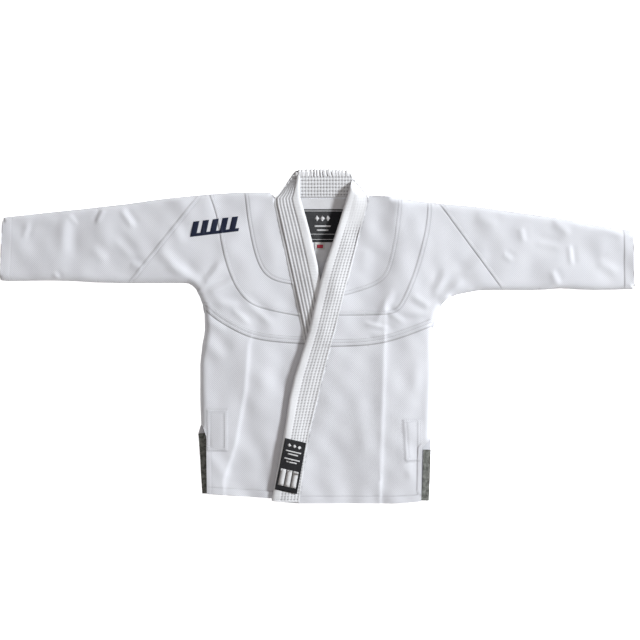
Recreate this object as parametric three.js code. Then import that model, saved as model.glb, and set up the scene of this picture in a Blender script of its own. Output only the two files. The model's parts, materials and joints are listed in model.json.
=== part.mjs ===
// A grappling jacket laid out flat: back down, sleeves straight out, left front lapped over right.
// Millimetres. +X is the wearer's left, +Y towards the collar, +Z up off the surface it lies on.
// Every piece of cloth is a flat slab cut to its laid-out outline, stacked in the order it is worn.
import * as THREE from "three";

// ---- Layers, as heights above the surface ----
const GAP = 0.3; // between neighbouring pieces
const CLOTH = 2; // pearl weave
const TRIM = 1; // tapes, facings and labels
const OVERLAY = 1.3; // reinforcement sewn on top of a panel
const LAPEL_SKIN = 1.2; // drill cover of the padded lapel
const LAPEL_CORE = 4; // its padding
const BACK = [0, CLOTH];
const INNER = layerOn(BACK, TRIM);
const LABEL = layerOn(INNER, TRIM - 0.2);
const RIGHT_FRONT_Z = 12;
const LEFT_FRONT_Z = 19;
const SLEEVE_FRONT_Z = 14;
const NECK_BAND_Z = 2.3;
const RIGHT_LAPEL_Z = 11;
const LEFT_LAPEL_Z = 18.6;

// ---- Where the jacket folds ----
const FLAP_LINE = [[80.5, 375], [150, -384]]; // the left front opens about this line
const RIGHT_SHOULDER_X = -258;
const LEFT_SHOULDER_X = 270;
const RIGHT_ELBOW_X = -505;
const LEFT_ELBOW_X = 510;

// ---- Widths ----
const SEAM_WALL = 4; // folded edge between the back and the front
const CHEST_BAND = 14;
const CUFF_TAPE = 20;
const CUFF_TAPE_INSET = 6;
const CUFF_EDGE = 2; // the tape starts this far up the sleeve
const HEM_FACING = 18;
const NECK_SEAM_Y = 318.5;
const NECK_FACING_DROP = 130;

// ---- Laid-out outlines of each side, from the neck outwards and from the top down ----
const RIGHT = {
  name: "right",
  out: -1,
  frontZ: RIGHT_FRONT_Z,
  hingeX: RIGHT_SHOULDER_X,
  elbowX: RIGHT_ELBOW_X,
  shoulder: [[-99, 318], [-108, 331], [-177, 331], [-258, 325.5]],
  sleeveTop: [[-258, 325.5], [-361, 315], [-476, 299], [-591, 287.5], [-722, 273]],
  sleeveBottom: [[-258, 104.8], [-267, 104.7], [-276, 105], [-283, 112], [-291, 118.6], [-300, 121.4],
    [-315, 122], [-476, 122], [-591, 127.6], [-706, 126.5], [-729, 129]],
  armhole: [[-248, 326], [-230, 272], [-217, 195], [-195, 127], [-169, 87], [-137, 66], [-45, 45]],
  yoke: [[-167, 331], [-156, 245], [-137, 169], [-111, 132], [-61, 118]],
  chestSeam: [[-259, 62], [-238, 42], [-190, 13], [-137, -8], [-45, -18]],
  goreSeam: [[-262, 324], [-424, 122]],
  side: [[-276, 104], [-271, 92], [-264, 73], [-259, 46], [-258, 9], [-264, -18], [-269, -64],
    [-269, -147], [-267, -202]],
  vent: [[-262, -209], [-254, -232], [-253, -363]],
  backVent: [[-267, -202], [-273.7, -225], [-270, -262], [-268, -308], [-264.5, -363]],
  hem: [[-253, -363], [-154, -370], [-108, -373], [-20, -378], [50, -384]],
  lapelOuter: [[-98, 316], [-78, 225], [-58, 134], [-34, 23], [-8, -110], [22, -250], [50, -384]],
  lapelFree: [[-38, 317], [-24, 268], [-10.6, 216], [6.4, 140], [30, 23], [60, -120], [88, -262],
    [115, -384]],
  lapelTop: [[-40, 382], [-50, 379], [-58, 370], [-76, 342], [-88, 326]],
  ventPatch: [[-253, -169], [-205, -169], [-205, -264], [-253, -264]],
  lapelZ: RIGHT_LAPEL_Z,
};
const LEFT = {
  name: "left",
  out: 1,
  frontZ: LEFT_FRONT_Z,
  hingeX: LEFT_SHOULDER_X,
  elbowX: LEFT_ELBOW_X,
  shoulder: [[119, 322], [179, 320], [214, 313], [270, 306]],
  sleeveTop: [[270, 306], [375, 296.7], [467, 283], [559, 271], [651, 253], [727, 243]],
  sleeveBottom: [[270, 86], [299, 86], [313, 92], [329, 96.6], [352, 101], [386, 106], [513, 106],
    [559, 110], [628, 106], [729, 108]],
  armhole: [[263, 307], [262, 286], [256, 237], [235, 159], [216, 108], [196, 68], [176, 50], [59, 47]],
  yoke: [[195, 317], [187, 239], [172, 168], [149, 123], [64, 92]],
  chestSeam: [[264, 23], [210, 2], [159, -14], [104, -22], [36, -24]],
  goreSeam: [[279, 305], [425, 106]],
  side: [[299, 85], [287, 73], [278, 55], [273, 37], [269, 18], [267, -9], [267, -55], [264, -147],
    [262, -230]],
  vent: [[260.6, -236], [241, -260], [239, -379.5]],
  backVent: [[262, -230], [262, -262], [260, -330], [257.6, -379.5]],
  hem: [[239, -379.5], [214, -382], [168, -384], [53, -384], [-44, -384]],
  lapelOuter: [[117, 322], [110, 293], [95, 234], [55, 79], [40, 19], [20, -55], [-10.6, -181],
    [-24.4, -242], [-44, -384]],
  lapelFree: [[83, 368], [60, 291], [36, 215], [10, 136], [-22, 2], [-58, -114], [-77, -231],
    [-105, -379]],
  lapelTop: [[94, 353]],
  ventPatch: [[239, -191], [197, -191], [203, -287], [238, -287]],
  lapelZ: LEFT_LAPEL_Z,
};

// ---- Trims ----
const NECK_BAND = [[-95, 319], [-88, 326], [-58, 370], [-50, 379], [-39, 383], [-16, 384], [30, 384],
  [76, 380], [83, 368], [94, 353], [117, 322], [116, 319]];
const NECK_LABEL = [[-40, 216], [65, 216], [65, 292], [-40, 292]];
const SIZE_TAG = [[-4.6, 199], [18.4, 199], [18.4, 215.7], [-4.6, 215.7]];
const LAPEL_PATCH = [[-73, -233], [-25, -245], [-46, -362], [-97, -351]];
const SHOULDER_MARK = { x: -238, y: 251, length: 112, height: 34, line: 7, tilt: 0.12, slant: 12, bars: 5 };
const BAR_SHARE = 0.62; // of the pitch from one bar to the next

// ---- Materials ----
const cloth = (color, roughness = 0.9) =>
  new THREE.MeshStandardMaterial({ color, roughness, metalness: 0 });
const PEARL = cloth(0xd6d7de);
const DRILL = cloth(0xdcdde2, 0.85);
const PADDING = cloth(0xe8e6df);
const LINING = cloth(0xd9dae0, 0.85);
const TAPE = cloth(0x55564f, 0.8);
const MARK = cloth(0x141a2e, 0.6);
const WOVEN = cloth(0x15161a, 0.7);
const TAG = cloth(0xf0efee, 0.6);

// ---- Outline helpers ----
function layerOn([, top], thickness) {
  return [top + GAP, top + GAP + thickness];
}

// A smooth line through the points, sampled evenly.
function smooth(points, steps = 2 * points.length) {
  const line = new THREE.SplineCurve(points.map(([x, y]) => new THREE.Vector2(x, y)));
  return line.getPoints(steps).map((p) => [p.x, p.y]);
}

function shift(points, dx, dy) {
  return points.map(([x, y]) => [x + dx, y + dy]);
}

// The part of an outline on the left of the line from a to b, half a joint's gap away from it.
function leftOf(outline, [a, b]) {
  const length = Math.hypot(b[0] - a[0], b[1] - a[1]);
  const offset = ([x, y]) =>
    ((b[0] - a[0]) * (y - a[1]) - (b[1] - a[1]) * (x - a[0])) / length - GAP;
  const kept = [];
  outline.forEach((p, i) => {
    const q = outline[(i + 1) % outline.length];
    const [dp, dq] = [offset(p), offset(q)];
    if (dp >= 0) kept.push(p);
    if (dp * dq < 0) {
      const t = dp / (dp - dq);
      kept.push([p[0] + t * (q[0] - p[0]), p[1] + t * (q[1] - p[1])]);
    }
  });
  return kept;
}

const reversed = ([a, b]) => [b, a];
const rightwards = (x) => [[x, 1000], [x, -1000]];

// Keep what lies beyond x on the side's outer hand, or inside it.
const outside = (outline, side, x) =>
  leftOf(outline, side.out > 0 ? rightwards(x) : reversed(rightwards(x)));
const inside = (outline, side, x) =>
  leftOf(outline, side.out > 0 ? reversed(rightwards(x)) : rightwards(x));

// A band of even width that lies along a line, on its right-hand side.
function band(line, width) {
  const inner = line.map((p, i) => {
    const a = line[Math.max(i - 1, 0)];
    const b = line[Math.min(i + 1, line.length - 1)];
    const length = Math.hypot(b[0] - a[0], b[1] - a[1]);
    return [p[0] + (width * (b[1] - a[1])) / length, p[1] - (width * (b[0] - a[0])) / length];
  });
  return [...line, ...inner.reverse()];
}

// ---- Meshes ----
const jacket = new THREE.Group();

function prism(outline, [bottom, top]) {
  const distinct = outline.filter((p, i) => {
    const q = outline[(i + 1) % outline.length];
    return Math.hypot(p[0] - q[0], p[1] - q[1]) > 0.05;
  });
  const shape = new THREE.Shape(distinct.map(([x, y]) => new THREE.Vector2(x, y)));
  const solid = new THREE.ExtrudeGeometry(shape, { depth: top - bottom, bevelEnabled: false });
  return solid.translate(0, 0, bottom);
}

function add(name, material, solid) {
  const mesh = new THREE.Mesh(solid, material);
  mesh.name = name;
  jacket.add(mesh);
}

// One named piece of cloth: an outline and the layer it fills.
function piece(name, material, outline, layer) {
  add(name, material, prism(outline, layer));
}

const slabAt = (bottom, thickness) => [bottom, bottom + thickness];

// ---- Lines worked out once for each side ----
function linesOf(side) {
  const chest = smooth(side.chestSeam);
  const armhole = smooth(side.armhole);
  const lapelOuter = smooth(side.lapelOuter);
  const edge = shift(lapelOuter, 2 * GAP * side.out, 0);
  return { chest, armhole, edge, lapelOuter, lapelFree: smooth(side.lapelFree), yoke: smooth(side.yoke) };
}

const edgeBetween = (line, high, low) => line.filter(([, y]) => y < high && y > low);
const lapelX = (line, y) => {
  const i = line.findIndex((p) => p[1] <= y);
  const [a, b] = [line[i - 1], line[i]];
  return a[0] + ((b[0] - a[0]) * (y - a[1])) / (b[1] - a[1]);
};

// The panels of one front, as whole outlines before they are split where they fold.
function frontOutlines(side) {
  const { chest, armhole, edge, yoke } = linesOf(side);
  const topY = side.shoulder[0][1];
  const armEnd = [lapelX(edge, armhole.at(-1)[1]), armhole.at(-1)[1]];
  const chestEnd = [lapelX(edge, chest.at(-1)[1]), chest.at(-1)[1]];
  const yokeEnd = [lapelX(edge, yoke.at(-1)[1]), yoke.at(-1)[1]];
  const armLine = [...armhole.slice(0, -1), armEnd];
  const chestLine = [...chest.slice(0, -1), chestEnd];
  const yokeLine = [...yoke.slice(0, -1), yokeEnd];
  const shoulderTo = (x) => side.shoulder.filter((p) => p[0] * side.out < x * side.out);
  const panel = [
    ...shoulderTo(armLine[0][0]),
    ...armLine,
    ...edgeBetween(edge, topY, armEnd[1]).reverse(),
  ];
  const yokePiece = [
    ...shoulderTo(yokeLine[0][0]),
    ...yokeLine,
    ...edgeBetween(edge, topY, yokeEnd[1]).reverse(),
  ];
  const sideTop = side.side.filter(([, y]) => y > chestLine[0][1] + 2);
  const underarm = [
    ...shift(armLine, 2 * GAP * side.out, 0).map(([x, y], i) => [x, i > 3 ? y - 2 * GAP : y]),
    ...edgeBetween(edge, armEnd[1] - 1, chestEnd[1] + 1),
    ...shift(chestLine, 0, GAP).reverse(),
    ...sideTop.slice().reverse(),
    [side.hingeX, sideTop[0][1]],
    side.shoulder.at(-1),
  ];
  const sideLow = side.side.filter(([, y]) => y < chestLine[0][1] - 2);
  const skirt = [
    ...shift(chestLine, 0, -GAP),
    ...edgeBetween(edge, chestEnd[1] - 1, -383.9),
    ...side.hem.slice().reverse(),
    ...side.vent.slice(0, -1).reverse(),
    ...sideLow.slice().reverse(),
  ];
  return { panel, yokePiece, underarm, skirt, chestLine };
}

const frontLayer = (side) => slabAt(side.frontZ, CLOTH);
const overlayLayer = (side) => layerOn(frontLayer(side), OVERLAY);

// The doubled strip above the chest seam, ending at the lapel's edge.
function chestBand(side, chestLine) {
  const strip = band(chestLine, side.out * CHEST_BAND);
  const [, y] = chestLine.at(-1);
  const { edge } = linesOf(side);
  const [high, low] = [y + 2 * CHEST_BAND, y - CHEST_BAND].map((level) => [lapelX(edge, level), level]);
  return leftOf(strip, side.out > 0 ? [low, high].reverse() : [low, high]);
}

function lapelOutline(side) {
  const { lapelOuter, lapelFree } = linesOf(side);
  return [...lapelFree, ...lapelOuter.slice().reverse(), ...side.lapelTop.slice().reverse()];
}

const lapelLayers = (bottom) => {
  const lining = slabAt(bottom, LAPEL_SKIN);
  const core = layerOn(lining, LAPEL_CORE);
  return { lining, core, face: layerOn(core, LAPEL_SKIN) };
};

// ---- Pieces on both sides ----
function seamWalls(side) {
  const wall = [BACK[1] + GAP, side.frontZ - GAP];
  const inward = (line, width) => (side.out > 0 ? band(line, width) : band(line, -width));
  piece(`${side.name}_side_seam`, PEARL, inward(side.side.slice(3), SEAM_WALL), wall);
  piece(`${side.name}_shoulder_fold`, PEARL, inward(side.shoulder.slice(1), SEAM_WALL), wall);
}

function vents(side) {
  const tapeWidth = side.out < 0 ? -17 : 17;
  piece(`${side.name}_vent_tape`, TAPE, band(side.backVent.slice(1), tapeWidth), INNER);
  piece(`${side.name}_vent_patch`, PEARL, side.ventPatch, overlayLayer(side));
}

function sleeve(side) {
  const { name } = side;
  const top = smooth(side.sleeveTop);
  const bottom = smooth(side.sleeveBottom);
  const outline = [...top, ...bottom.slice().reverse()];
  const upper = inside(outside(outline, side, side.hingeX), side, side.elbowX);
  const forearm = outside(outline, side, side.elbowX);
  const gore = side.out > 0 ? reversed(side.goreSeam) : side.goreSeam;
  const front = slabAt(SLEEVE_FRONT_Z, CLOTH);
  const wall = [BACK[1] + GAP, SLEEVE_FRONT_Z - GAP];
  const cut = (line, width, near, far) =>
    inside(outside(band(line, side.out * width), side, near), side, far);
  const far = side.out * 1000;
  piece(`${name}_sleeve_gore`, PEARL, leftOf(upper, gore), front);
  piece(`${name}_upper_sleeve_front`, PEARL, leftOf(upper, reversed(gore)), front);
  piece(`${name}_upper_sleeve_back`, PEARL, upper, BACK);
  piece(`${name}_upper_sleeve_fold`, PEARL, cut(top, SEAM_WALL, side.hingeX, side.elbowX), wall);
  const underarm = cut(bottom.slice(4), -SEAM_WALL, side.hingeX, side.elbowX);
  piece(`${name}_upper_sleeve_seam`, PEARL, underarm, wall);
  piece(`${name}_forearm_front`, PEARL, forearm, front);
  piece(`${name}_forearm_back`, PEARL, forearm, BACK);
  piece(`${name}_forearm_fold`, PEARL, cut(top, SEAM_WALL, side.elbowX, far), wall);
  piece(`${name}_forearm_seam`, PEARL, cut(bottom, -SEAM_WALL, side.elbowX, far), wall);
}

// The tape sewn round the inside of a cuff, a flat ring.
function cuffTape(side) {
  const [top, bottom] = [side.sleeveTop.at(-1), side.sleeveBottom.at(-1)];
  const half = (top[1] - bottom[1]) / 2 - CUFF_TAPE_INSET;
  const floor = BACK[1] + GAP;
  const roof = SLEEVE_FRONT_Z - GAP;
  const rectangle = (Path, y, low, high) =>
    new Path([[-y, low], [y, low], [y, high], [-y, high]].map((p) => new THREE.Vector2(...p)));
  const ring = rectangle(THREE.Shape, half, floor, roof);
  ring.holes.push(rectangle(THREE.Path, half - TRIM, floor + TRIM, roof - TRIM));
  const solid = new THREE.ExtrudeGeometry(ring, { depth: CUFF_TAPE, bevelEnabled: false });
  // Stand the ring up: its width runs along +Y, its height along +Z and its depth along +X.
  const [across, up, along] = [[0, 1, 0], [0, 0, 1], [1, 0, 0]].map((v) => new THREE.Vector3(...v));
  solid.applyMatrix4(new THREE.Matrix4().makeBasis(across, up, along));
  solid.translate(side.out > 0 ? -CUFF_EDGE - CUFF_TAPE : CUFF_EDGE, 0, 0);
  const slope = Math.atan2(bottom[0] - top[0], top[1] - bottom[1]);
  solid.rotateZ(slope);
  solid.translate((top[0] + bottom[0]) / 2, (top[1] + bottom[1]) / 2, 0);
  add(`${side.name}_cuff_tape`, TAPE, solid);
}

// ---- The back ----
function back() {
  const neck = [[116, NECK_SEAM_Y], [-96, NECK_SEAM_Y]];
  const outline = [
    ...neck,
    ...RIGHT.shoulder.slice(1),
    [RIGHT.hingeX, RIGHT.side[0][1]],
    ...RIGHT.side.slice(0, -1),
    ...RIGHT.backVent,
    ...LEFT.backVent.slice().reverse(),
    ...LEFT.side.slice(0, -1).reverse(),
    [LEFT.hingeX, LEFT.side[0][1]],
    ...LEFT.shoulder.slice(1).reverse(),
  ];
  piece("back_panel", PEARL, outline, BACK);
  const facing = [[-90, NECK_SEAM_Y - 3], [112, NECK_SEAM_Y - 3], [70, NECK_SEAM_Y - NECK_FACING_DROP],
    [10, NECK_SEAM_Y - NECK_FACING_DROP - 20], [-50, NECK_SEAM_Y - NECK_FACING_DROP]];
  piece("back_neck_facing", LINING, facing, INNER);
  piece("neck_label", WOVEN, NECK_LABEL, LABEL);
  piece("size_tag", TAG, SIZE_TAG, LABEL);
}

function neckBand() {
  const layers = lapelLayers(NECK_BAND_Z);
  piece("collar_neck_lining", DRILL, NECK_BAND, layers.lining);
  piece("collar_neck_core", PADDING, NECK_BAND, layers.core);
  piece("collar_neck_face", DRILL, NECK_BAND, layers.face);
}

// ---- The right front, which lies underneath ----
function rightFront() {
  const { panel, yokePiece, underarm, skirt, chestLine } = frontOutlines(RIGHT);
  piece("right_front_panel", PEARL, panel, frontLayer(RIGHT));
  piece("right_underarm_panel", PEARL, underarm, frontLayer(RIGHT));
  piece("right_front_skirt", PEARL, skirt, frontLayer(RIGHT));
  piece("right_yoke", PEARL, yokePiece, overlayLayer(RIGHT));
  piece("right_chest_band", PEARL, chestBand(RIGHT, chestLine), overlayLayer(RIGHT));
  const outline = lapelOutline(RIGHT);
  const layers = lapelLayers(RIGHT.lapelZ);
  piece("right_lapel_lining", DRILL, outline, layers.lining);
  piece("right_lapel_core", PADDING, outline, layers.core);
  piece("right_lapel_face", DRILL, outline, layers.face);
}

// ---- The left front, which opens about the flap line ----
function splitAtFlap(name, rootName, material, outline, layer) {
  piece(name, material, leftOf(outline, reversed(FLAP_LINE)), layer);
  piece(rootName, material, leftOf(outline, FLAP_LINE), layer);
}

function leftFront() {
  const { panel, yokePiece, underarm, skirt, chestLine } = frontOutlines(LEFT);
  const front = frontLayer(LEFT);
  const overlay = overlayLayer(LEFT);
  splitAtFlap("left_front_panel", "left_front_panel_root", PEARL, panel, front);
  splitAtFlap("left_underarm_panel", "left_underarm_panel_root", PEARL, underarm, front);
  splitAtFlap("left_front_skirt", "left_front_skirt_root", PEARL, skirt, front);
  splitAtFlap("left_yoke", "left_yoke_root", PEARL, yokePiece, overlay);
  splitAtFlap("left_chest_band", "left_chest_band_root", PEARL, chestBand(LEFT, chestLine), overlay);
  const outline = lapelOutline(LEFT);
  const layers = lapelLayers(LEFT.lapelZ);
  const flap = leftOf(outline, reversed(FLAP_LINE));
  const root = leftOf(outline, FLAP_LINE);
  piece("left_lapel_lining", DRILL, flap, layers.lining);
  piece("left_lapel_core", PADDING, flap, layers.core);
  piece("left_lapel_face", DRILL, flap, layers.face);
  piece("left_lapel_root", DRILL, root, [layers.lining[0], layers.face[1]]);
  piece("lapel_patch", WOVEN, LAPEL_PATCH, layerOn(layers.face, TRIM));
}

// ---- The mark on the right shoulder: slanted bars that stand on one line, half on the body ----
function shoulderMark() {
  const { x, y, length, height, line, tilt, slant, bars } = SHOULDER_MARK;
  const pitch = length / bars;
  const lean = (u, v) => [u + slant * (v / height), v];
  const teeth = Array.from({ length: bars }, (_, i) => {
    const start = i * pitch - length / 2;
    const end = start + pitch * BAR_SHARE;
    return [lean(start, line), lean(start, height), lean(end, height), lean(end, line)];
  });
  const comb = [lean(length / 2, line), lean(length / 2, 0), lean(-length / 2, 0), ...teeth.flat()];
  const placed = comb.map(([u, v]) => [
    x + u * Math.cos(tilt) - (v - height / 2) * Math.sin(tilt),
    y + u * Math.sin(tilt) + (v - height / 2) * Math.cos(tilt),
  ]);
  const onSleeve = layerOn(slabAt(SLEEVE_FRONT_Z, CLOTH), TRIM / 2);
  const onBody = layerOn(frontLayer(RIGHT), TRIM / 2);
  piece("shoulder_mark_body", MARK, inside(placed, RIGHT, RIGHT.hingeX), onBody);
  piece("shoulder_mark_sleeve", MARK, outside(placed, RIGHT, RIGHT.hingeX), onSleeve);
}

back();
neckBand();
rightFront();
leftFront();
for (const side of [RIGHT, LEFT]) {
  seamWalls(side);
  vents(side);
  sleeve(side);
  cuffTape(side);
}
shoulderMark();

export default jacket;
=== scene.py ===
"""A grappling jacket laid flat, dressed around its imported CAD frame.

Lengths are in metres, and MM turns millimetres into them. +X runs to the wearer's left cuff, +Y to the
collar and +Z up off the floor. Every cloth panel is cut along its CAD outline and lifted by one height
field for each side, so that panels that share a seam meet exactly.
"""

import json
import math

import bpy
import numpy as np
from mathutils.geometry import delaunay_2d_cdt
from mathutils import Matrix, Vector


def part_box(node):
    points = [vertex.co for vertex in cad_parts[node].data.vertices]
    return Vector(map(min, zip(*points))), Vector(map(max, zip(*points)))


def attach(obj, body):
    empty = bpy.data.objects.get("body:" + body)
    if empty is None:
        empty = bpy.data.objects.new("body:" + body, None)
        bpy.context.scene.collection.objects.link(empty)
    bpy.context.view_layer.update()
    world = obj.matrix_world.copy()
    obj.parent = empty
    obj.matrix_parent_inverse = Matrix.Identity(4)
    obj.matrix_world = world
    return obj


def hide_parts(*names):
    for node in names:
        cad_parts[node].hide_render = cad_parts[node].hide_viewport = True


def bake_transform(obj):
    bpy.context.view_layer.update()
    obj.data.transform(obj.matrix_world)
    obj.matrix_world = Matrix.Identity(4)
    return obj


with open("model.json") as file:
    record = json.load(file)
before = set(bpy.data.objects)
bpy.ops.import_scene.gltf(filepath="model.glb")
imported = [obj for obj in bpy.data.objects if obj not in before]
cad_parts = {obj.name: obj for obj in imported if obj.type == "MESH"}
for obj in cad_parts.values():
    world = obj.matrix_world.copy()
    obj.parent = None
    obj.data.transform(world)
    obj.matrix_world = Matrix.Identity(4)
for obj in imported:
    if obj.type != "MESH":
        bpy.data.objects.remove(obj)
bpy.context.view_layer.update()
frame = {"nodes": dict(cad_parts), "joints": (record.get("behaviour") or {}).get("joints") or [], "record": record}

MM = 0.001
CLOTH = 2.0 * MM  # thickness of the pearl weave
STEP = 5.0 * MM  # between the points of a panel
FINE = 2.6 * MM  # along a seam
ROLL = 15.0 * MM  # how far in from a fold the cloth is still rounded
FOLD_TOP = 2.6 * MM  # height of the cloth right at a fold
NARROW = 0.45 * MM  # half the gap that the CAD leaves between panels


# ---- Frame: joints and outlines ----
def joint(name):
    return next(j for j in frame["joints"] if j["name"] == name)


HINGE_X = {"right": joint("right_sleeve_fold")["pos_m"][0], "left": joint("left_sleeve_fold")["pos_m"][0]}
ELBOW_X = {"right": joint("right_elbow_fold")["pos_m"][0], "left": joint("left_elbow_fold")["pos_m"][0]}
OUT = {"right": -1.0, "left": 1.0}


def loop_of(node):
    """The outline of a flat CAD piece's top face, anticlockwise, as an array of points."""
    mesh = frame["nodes"][node].data
    place = [(round(v.co.x, 6), round(v.co.y, 6)) for v in mesh.vertices]
    edges = set()
    for face in mesh.polygons:
        if face.normal.z > 0.9:
            corners = [place[i] for i in face.vertices]
            edges.update(zip(corners, corners[1:] + corners[:1]))
    following = {a: b for a, b in edges if (b, a) not in edges}
    start = next(iter(sorted(following)))
    loop = [start]
    while following[loop[-1]] != start:
        loop.append(following[loop[-1]])
    return np.array(loop)


def top_of(node):
    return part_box(node)[1].z


def closed(loop):
    return np.vstack([loop, loop[:1]])


def resampled(line, step):
    """The same line with its long stretches divided."""
    out = []
    for a, b in zip(line[:-1], line[1:]):
        n = max(1, math.ceil(np.hypot(*(b - a)) / step - 0.2))
        out.extend(a + (b - a) * i / n for i in range(n))
    out.append(line[-1])
    return np.array(out)


def evenly(line, step, start=0.0):
    """Points at even steps along a line, with the direction at each."""
    parts = np.hypot(*(np.diff(line, axis=0).T))
    length = np.concatenate([[0], np.cumsum(parts)])
    at = np.arange(start, length[-1], step)
    points = np.column_stack([np.interp(at, length, line[:, i]) for i in (0, 1)])
    ahead = np.column_stack([np.interp(at + MM, length, line[:, i]) for i in (0, 1)])
    behind = np.column_stack([np.interp(at - MM, length, line[:, i]) for i in (0, 1)])
    along = ahead - behind
    return points, along / np.maximum(np.hypot(*along.T), 1e-9)[:, None]


def offset_line(line, distance):
    """The line moved to its left by distance."""
    ahead = np.vstack([line[1:], line[-1:]]) - np.vstack([line[:1], line[:-1]])
    ahead = ahead / np.maximum(np.hypot(*ahead.T), 1e-9)[:, None]
    return line + distance * np.column_stack([-ahead[:, 1], ahead[:, 0]])


def inside(points, loop):
    x, y = points.T
    within = np.zeros(len(points), bool)
    for (x1, y1), (x2, y2) in zip(loop, np.roll(loop, -1, axis=0)):
        if y1 != y2:
            crosses = (y1 > y) != (y2 > y)
            within ^= crosses & (x < (x2 - x1) * (y - y1) / (y2 - y1) + x1)
    return within


def nearest(points, stretches):
    """The distance from each point to the nearest of some straight stretches."""
    best = np.full(len(points), 9.0)
    for a, b in stretches:
        d = b - a
        t = np.clip(((points - a) @ d) / max(d @ d, 1e-12), 0, 1)
        best = np.minimum(best, np.hypot(*(points - a - t[:, None] * d).T))
    return best


def distance(points, line):
    """The distance from each point to a line of straight stretches."""
    return nearest(points, zip(line[:-1], line[1:]))


def ramp(t):
    t = np.clip(t, 0, 1)
    return t * t * (3 - 2 * t)


def bump(d, width):
    return np.exp(-((d / width) ** 2))


# ---- The outlines of each side, read from the frame ----
def bridged(names):
    return [loop_of(n) for n in names]


PANELS = {
    "right": {
        "front_panel": ["right_front_panel"],
        "underarm_panel": ["right_underarm_panel"],
        "front_skirt": ["right_front_skirt"],
        "sleeve_gore": ["right_sleeve_gore"],
        "upper_sleeve_front": ["right_upper_sleeve_front"],
        "forearm_front": ["right_forearm_front"],
    },
    "left": {
        "front_panel": ["left_front_panel", "left_front_panel_root"],
        "underarm_panel": ["left_underarm_panel", "left_underarm_panel_root"],
        "front_skirt": ["left_front_skirt", "left_front_skirt_root"],
        "sleeve_gore": ["left_sleeve_gore"],
        "upper_sleeve_front": ["left_upper_sleeve_front"],
        "forearm_front": ["left_forearm_front"],
    },
}
OVERLAYS = {
    "right": {"yoke": ["right_yoke"], "chest_band": ["right_chest_band"], "vent_patch": ["right_vent_patch"]},
    "left": {
        "yoke": ["left_yoke", "left_yoke_root"],
        "chest_band": ["left_chest_band", "left_chest_band_root"],
        "vent_patch": ["left_vent_patch"],
    },
}
FOLDS = [
    "side_seam",
    "shoulder_fold",
    "upper_sleeve_fold",
    "upper_sleeve_seam",
    "forearm_fold",
    "forearm_seam",
]
LOOPS = {
    side: {name: bridged(nodes) for name, nodes in {**PANELS[side], **OVERLAYS[side]}.items()}
    for side in PANELS
}


def in_any(points, loops):
    found = np.zeros(len(points), bool)
    for loop in loops:
        found |= inside(points, loop)
    return found


def shared(side, a, b, reach=1.0 * MM):
    """The stretch of panel a's outline that runs along panel b, as one line."""
    best = []
    for loop in LOOPS[side][a]:
        ring = resampled(closed(loop), 4 * MM)
        near = np.min([distance(ring, closed(other)) for other in LOOPS[side][b]], axis=0) < reach
        if near.all():
            return ring
        turn = int(np.argmin(near[:-1]))
        ring, near = np.roll(ring[:-1], -turn, axis=0), np.roll(near[:-1], -turn)
        run = []
        for point, is_near in zip(ring, near):
            if is_near:
                run.append(point)
            elif len(run) > 1:
                best.append(np.array(run))
                run = []
        if len(run) > 1:
            best.append(np.array(run))
    return join_runs(best)


def join_runs(runs):
    """Joins stretches that the flap line has cut, end to end."""
    runs = sorted(runs, key=len, reverse=True)
    line = runs.pop(0)
    for run in sorted(runs, key=lambda r: np.hypot(*(r.mean(0) - line.mean(0)))):
        ends = [
            (np.hypot(*(line[-1] - run[0])), np.vstack([line, run])),
            (np.hypot(*(line[-1] - run[-1])), np.vstack([line, run[::-1]])),
            (np.hypot(*(line[0] - run[-1])), np.vstack([run, line])),
            (np.hypot(*(line[0] - run[0])), np.vstack([run[::-1], line])),
        ]
        gap, joined = min(ends, key=lambda e: e[0])
        if gap < 9 * MM:
            line = joined
    return line


def eased(line, reach):
    """The line with its corners rounded by averaging each point with its neighbours."""
    padded = np.vstack([2 * line[0] - line[reach:0:-1], line, 2 * line[-1] - line[-2 : -reach - 2 : -1]])
    weight = np.hanning(2 * reach + 3)[1:-1]
    weight = weight / weight.sum()
    return np.column_stack([np.convolve(padded[:, i], weight, "valid") for i in (0, 1)])


def downwards(line):
    return line if line[0][1] > line[-1][1] else line[::-1]


# ---- Heights ----
SETTLE_FROM = -120 * MM  # below this the front lies closer to the back, towards the hem
SETTLE_TO = -380 * MM
SETTLE = 0.22
HIGH = {
    "right": (top_of("right_front_panel"), top_of("right_forearm_front")),
    "left": (top_of("left_front_panel"), top_of("left_forearm_front")),
}


def settled(y):
    return 1 - SETTLE * ramp((SETTLE_FROM - y) / (SETTLE_FROM - SETTLE_TO))


def waves(count, short, long, along, spread, seed):
    """Random ripples: wave vectors about a direction, with longer ones higher."""
    own = np.random.default_rng(seed)
    length = np.exp(own.uniform(math.log(short), math.log(long), count))
    angle = along + own.normal(0, spread, count)
    vector = (2 * math.pi / length)[:, None] * np.column_stack([np.cos(angle), np.sin(angle)])
    phase = own.uniform(0, 2 * math.pi, count)
    size = length / long / math.sqrt(count)
    return lambda p: (np.sin(p @ vector.T + phase) * size).sum(1)


BODY_WAVES = waves(26, 45 * MM, 240 * MM, 0.0, 0.5, 3)  # mostly upright folds
SLEEVE_WAVES = waves(24, 42 * MM, 190 * MM, 0.6, 0.7, 5)


def crease(points, a, b, width, height):
    """One soft fold from a to b that dies out at both ends, with a shallow valley beside it."""
    a, b = np.array(a), np.array(b)
    d = b - a
    t = ((points - a) @ d) / (d @ d)
    across = ((points - a) @ np.array([-d[1], d[0]])) / np.hypot(*d)
    fade = ramp(np.clip(t, 0, 1) * 4) * ramp((1 - np.clip(t, 0, 1)) * 3)
    return height * fade * (bump(across, width) - 0.6 * bump(across - 1.9 * width, width))


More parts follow.
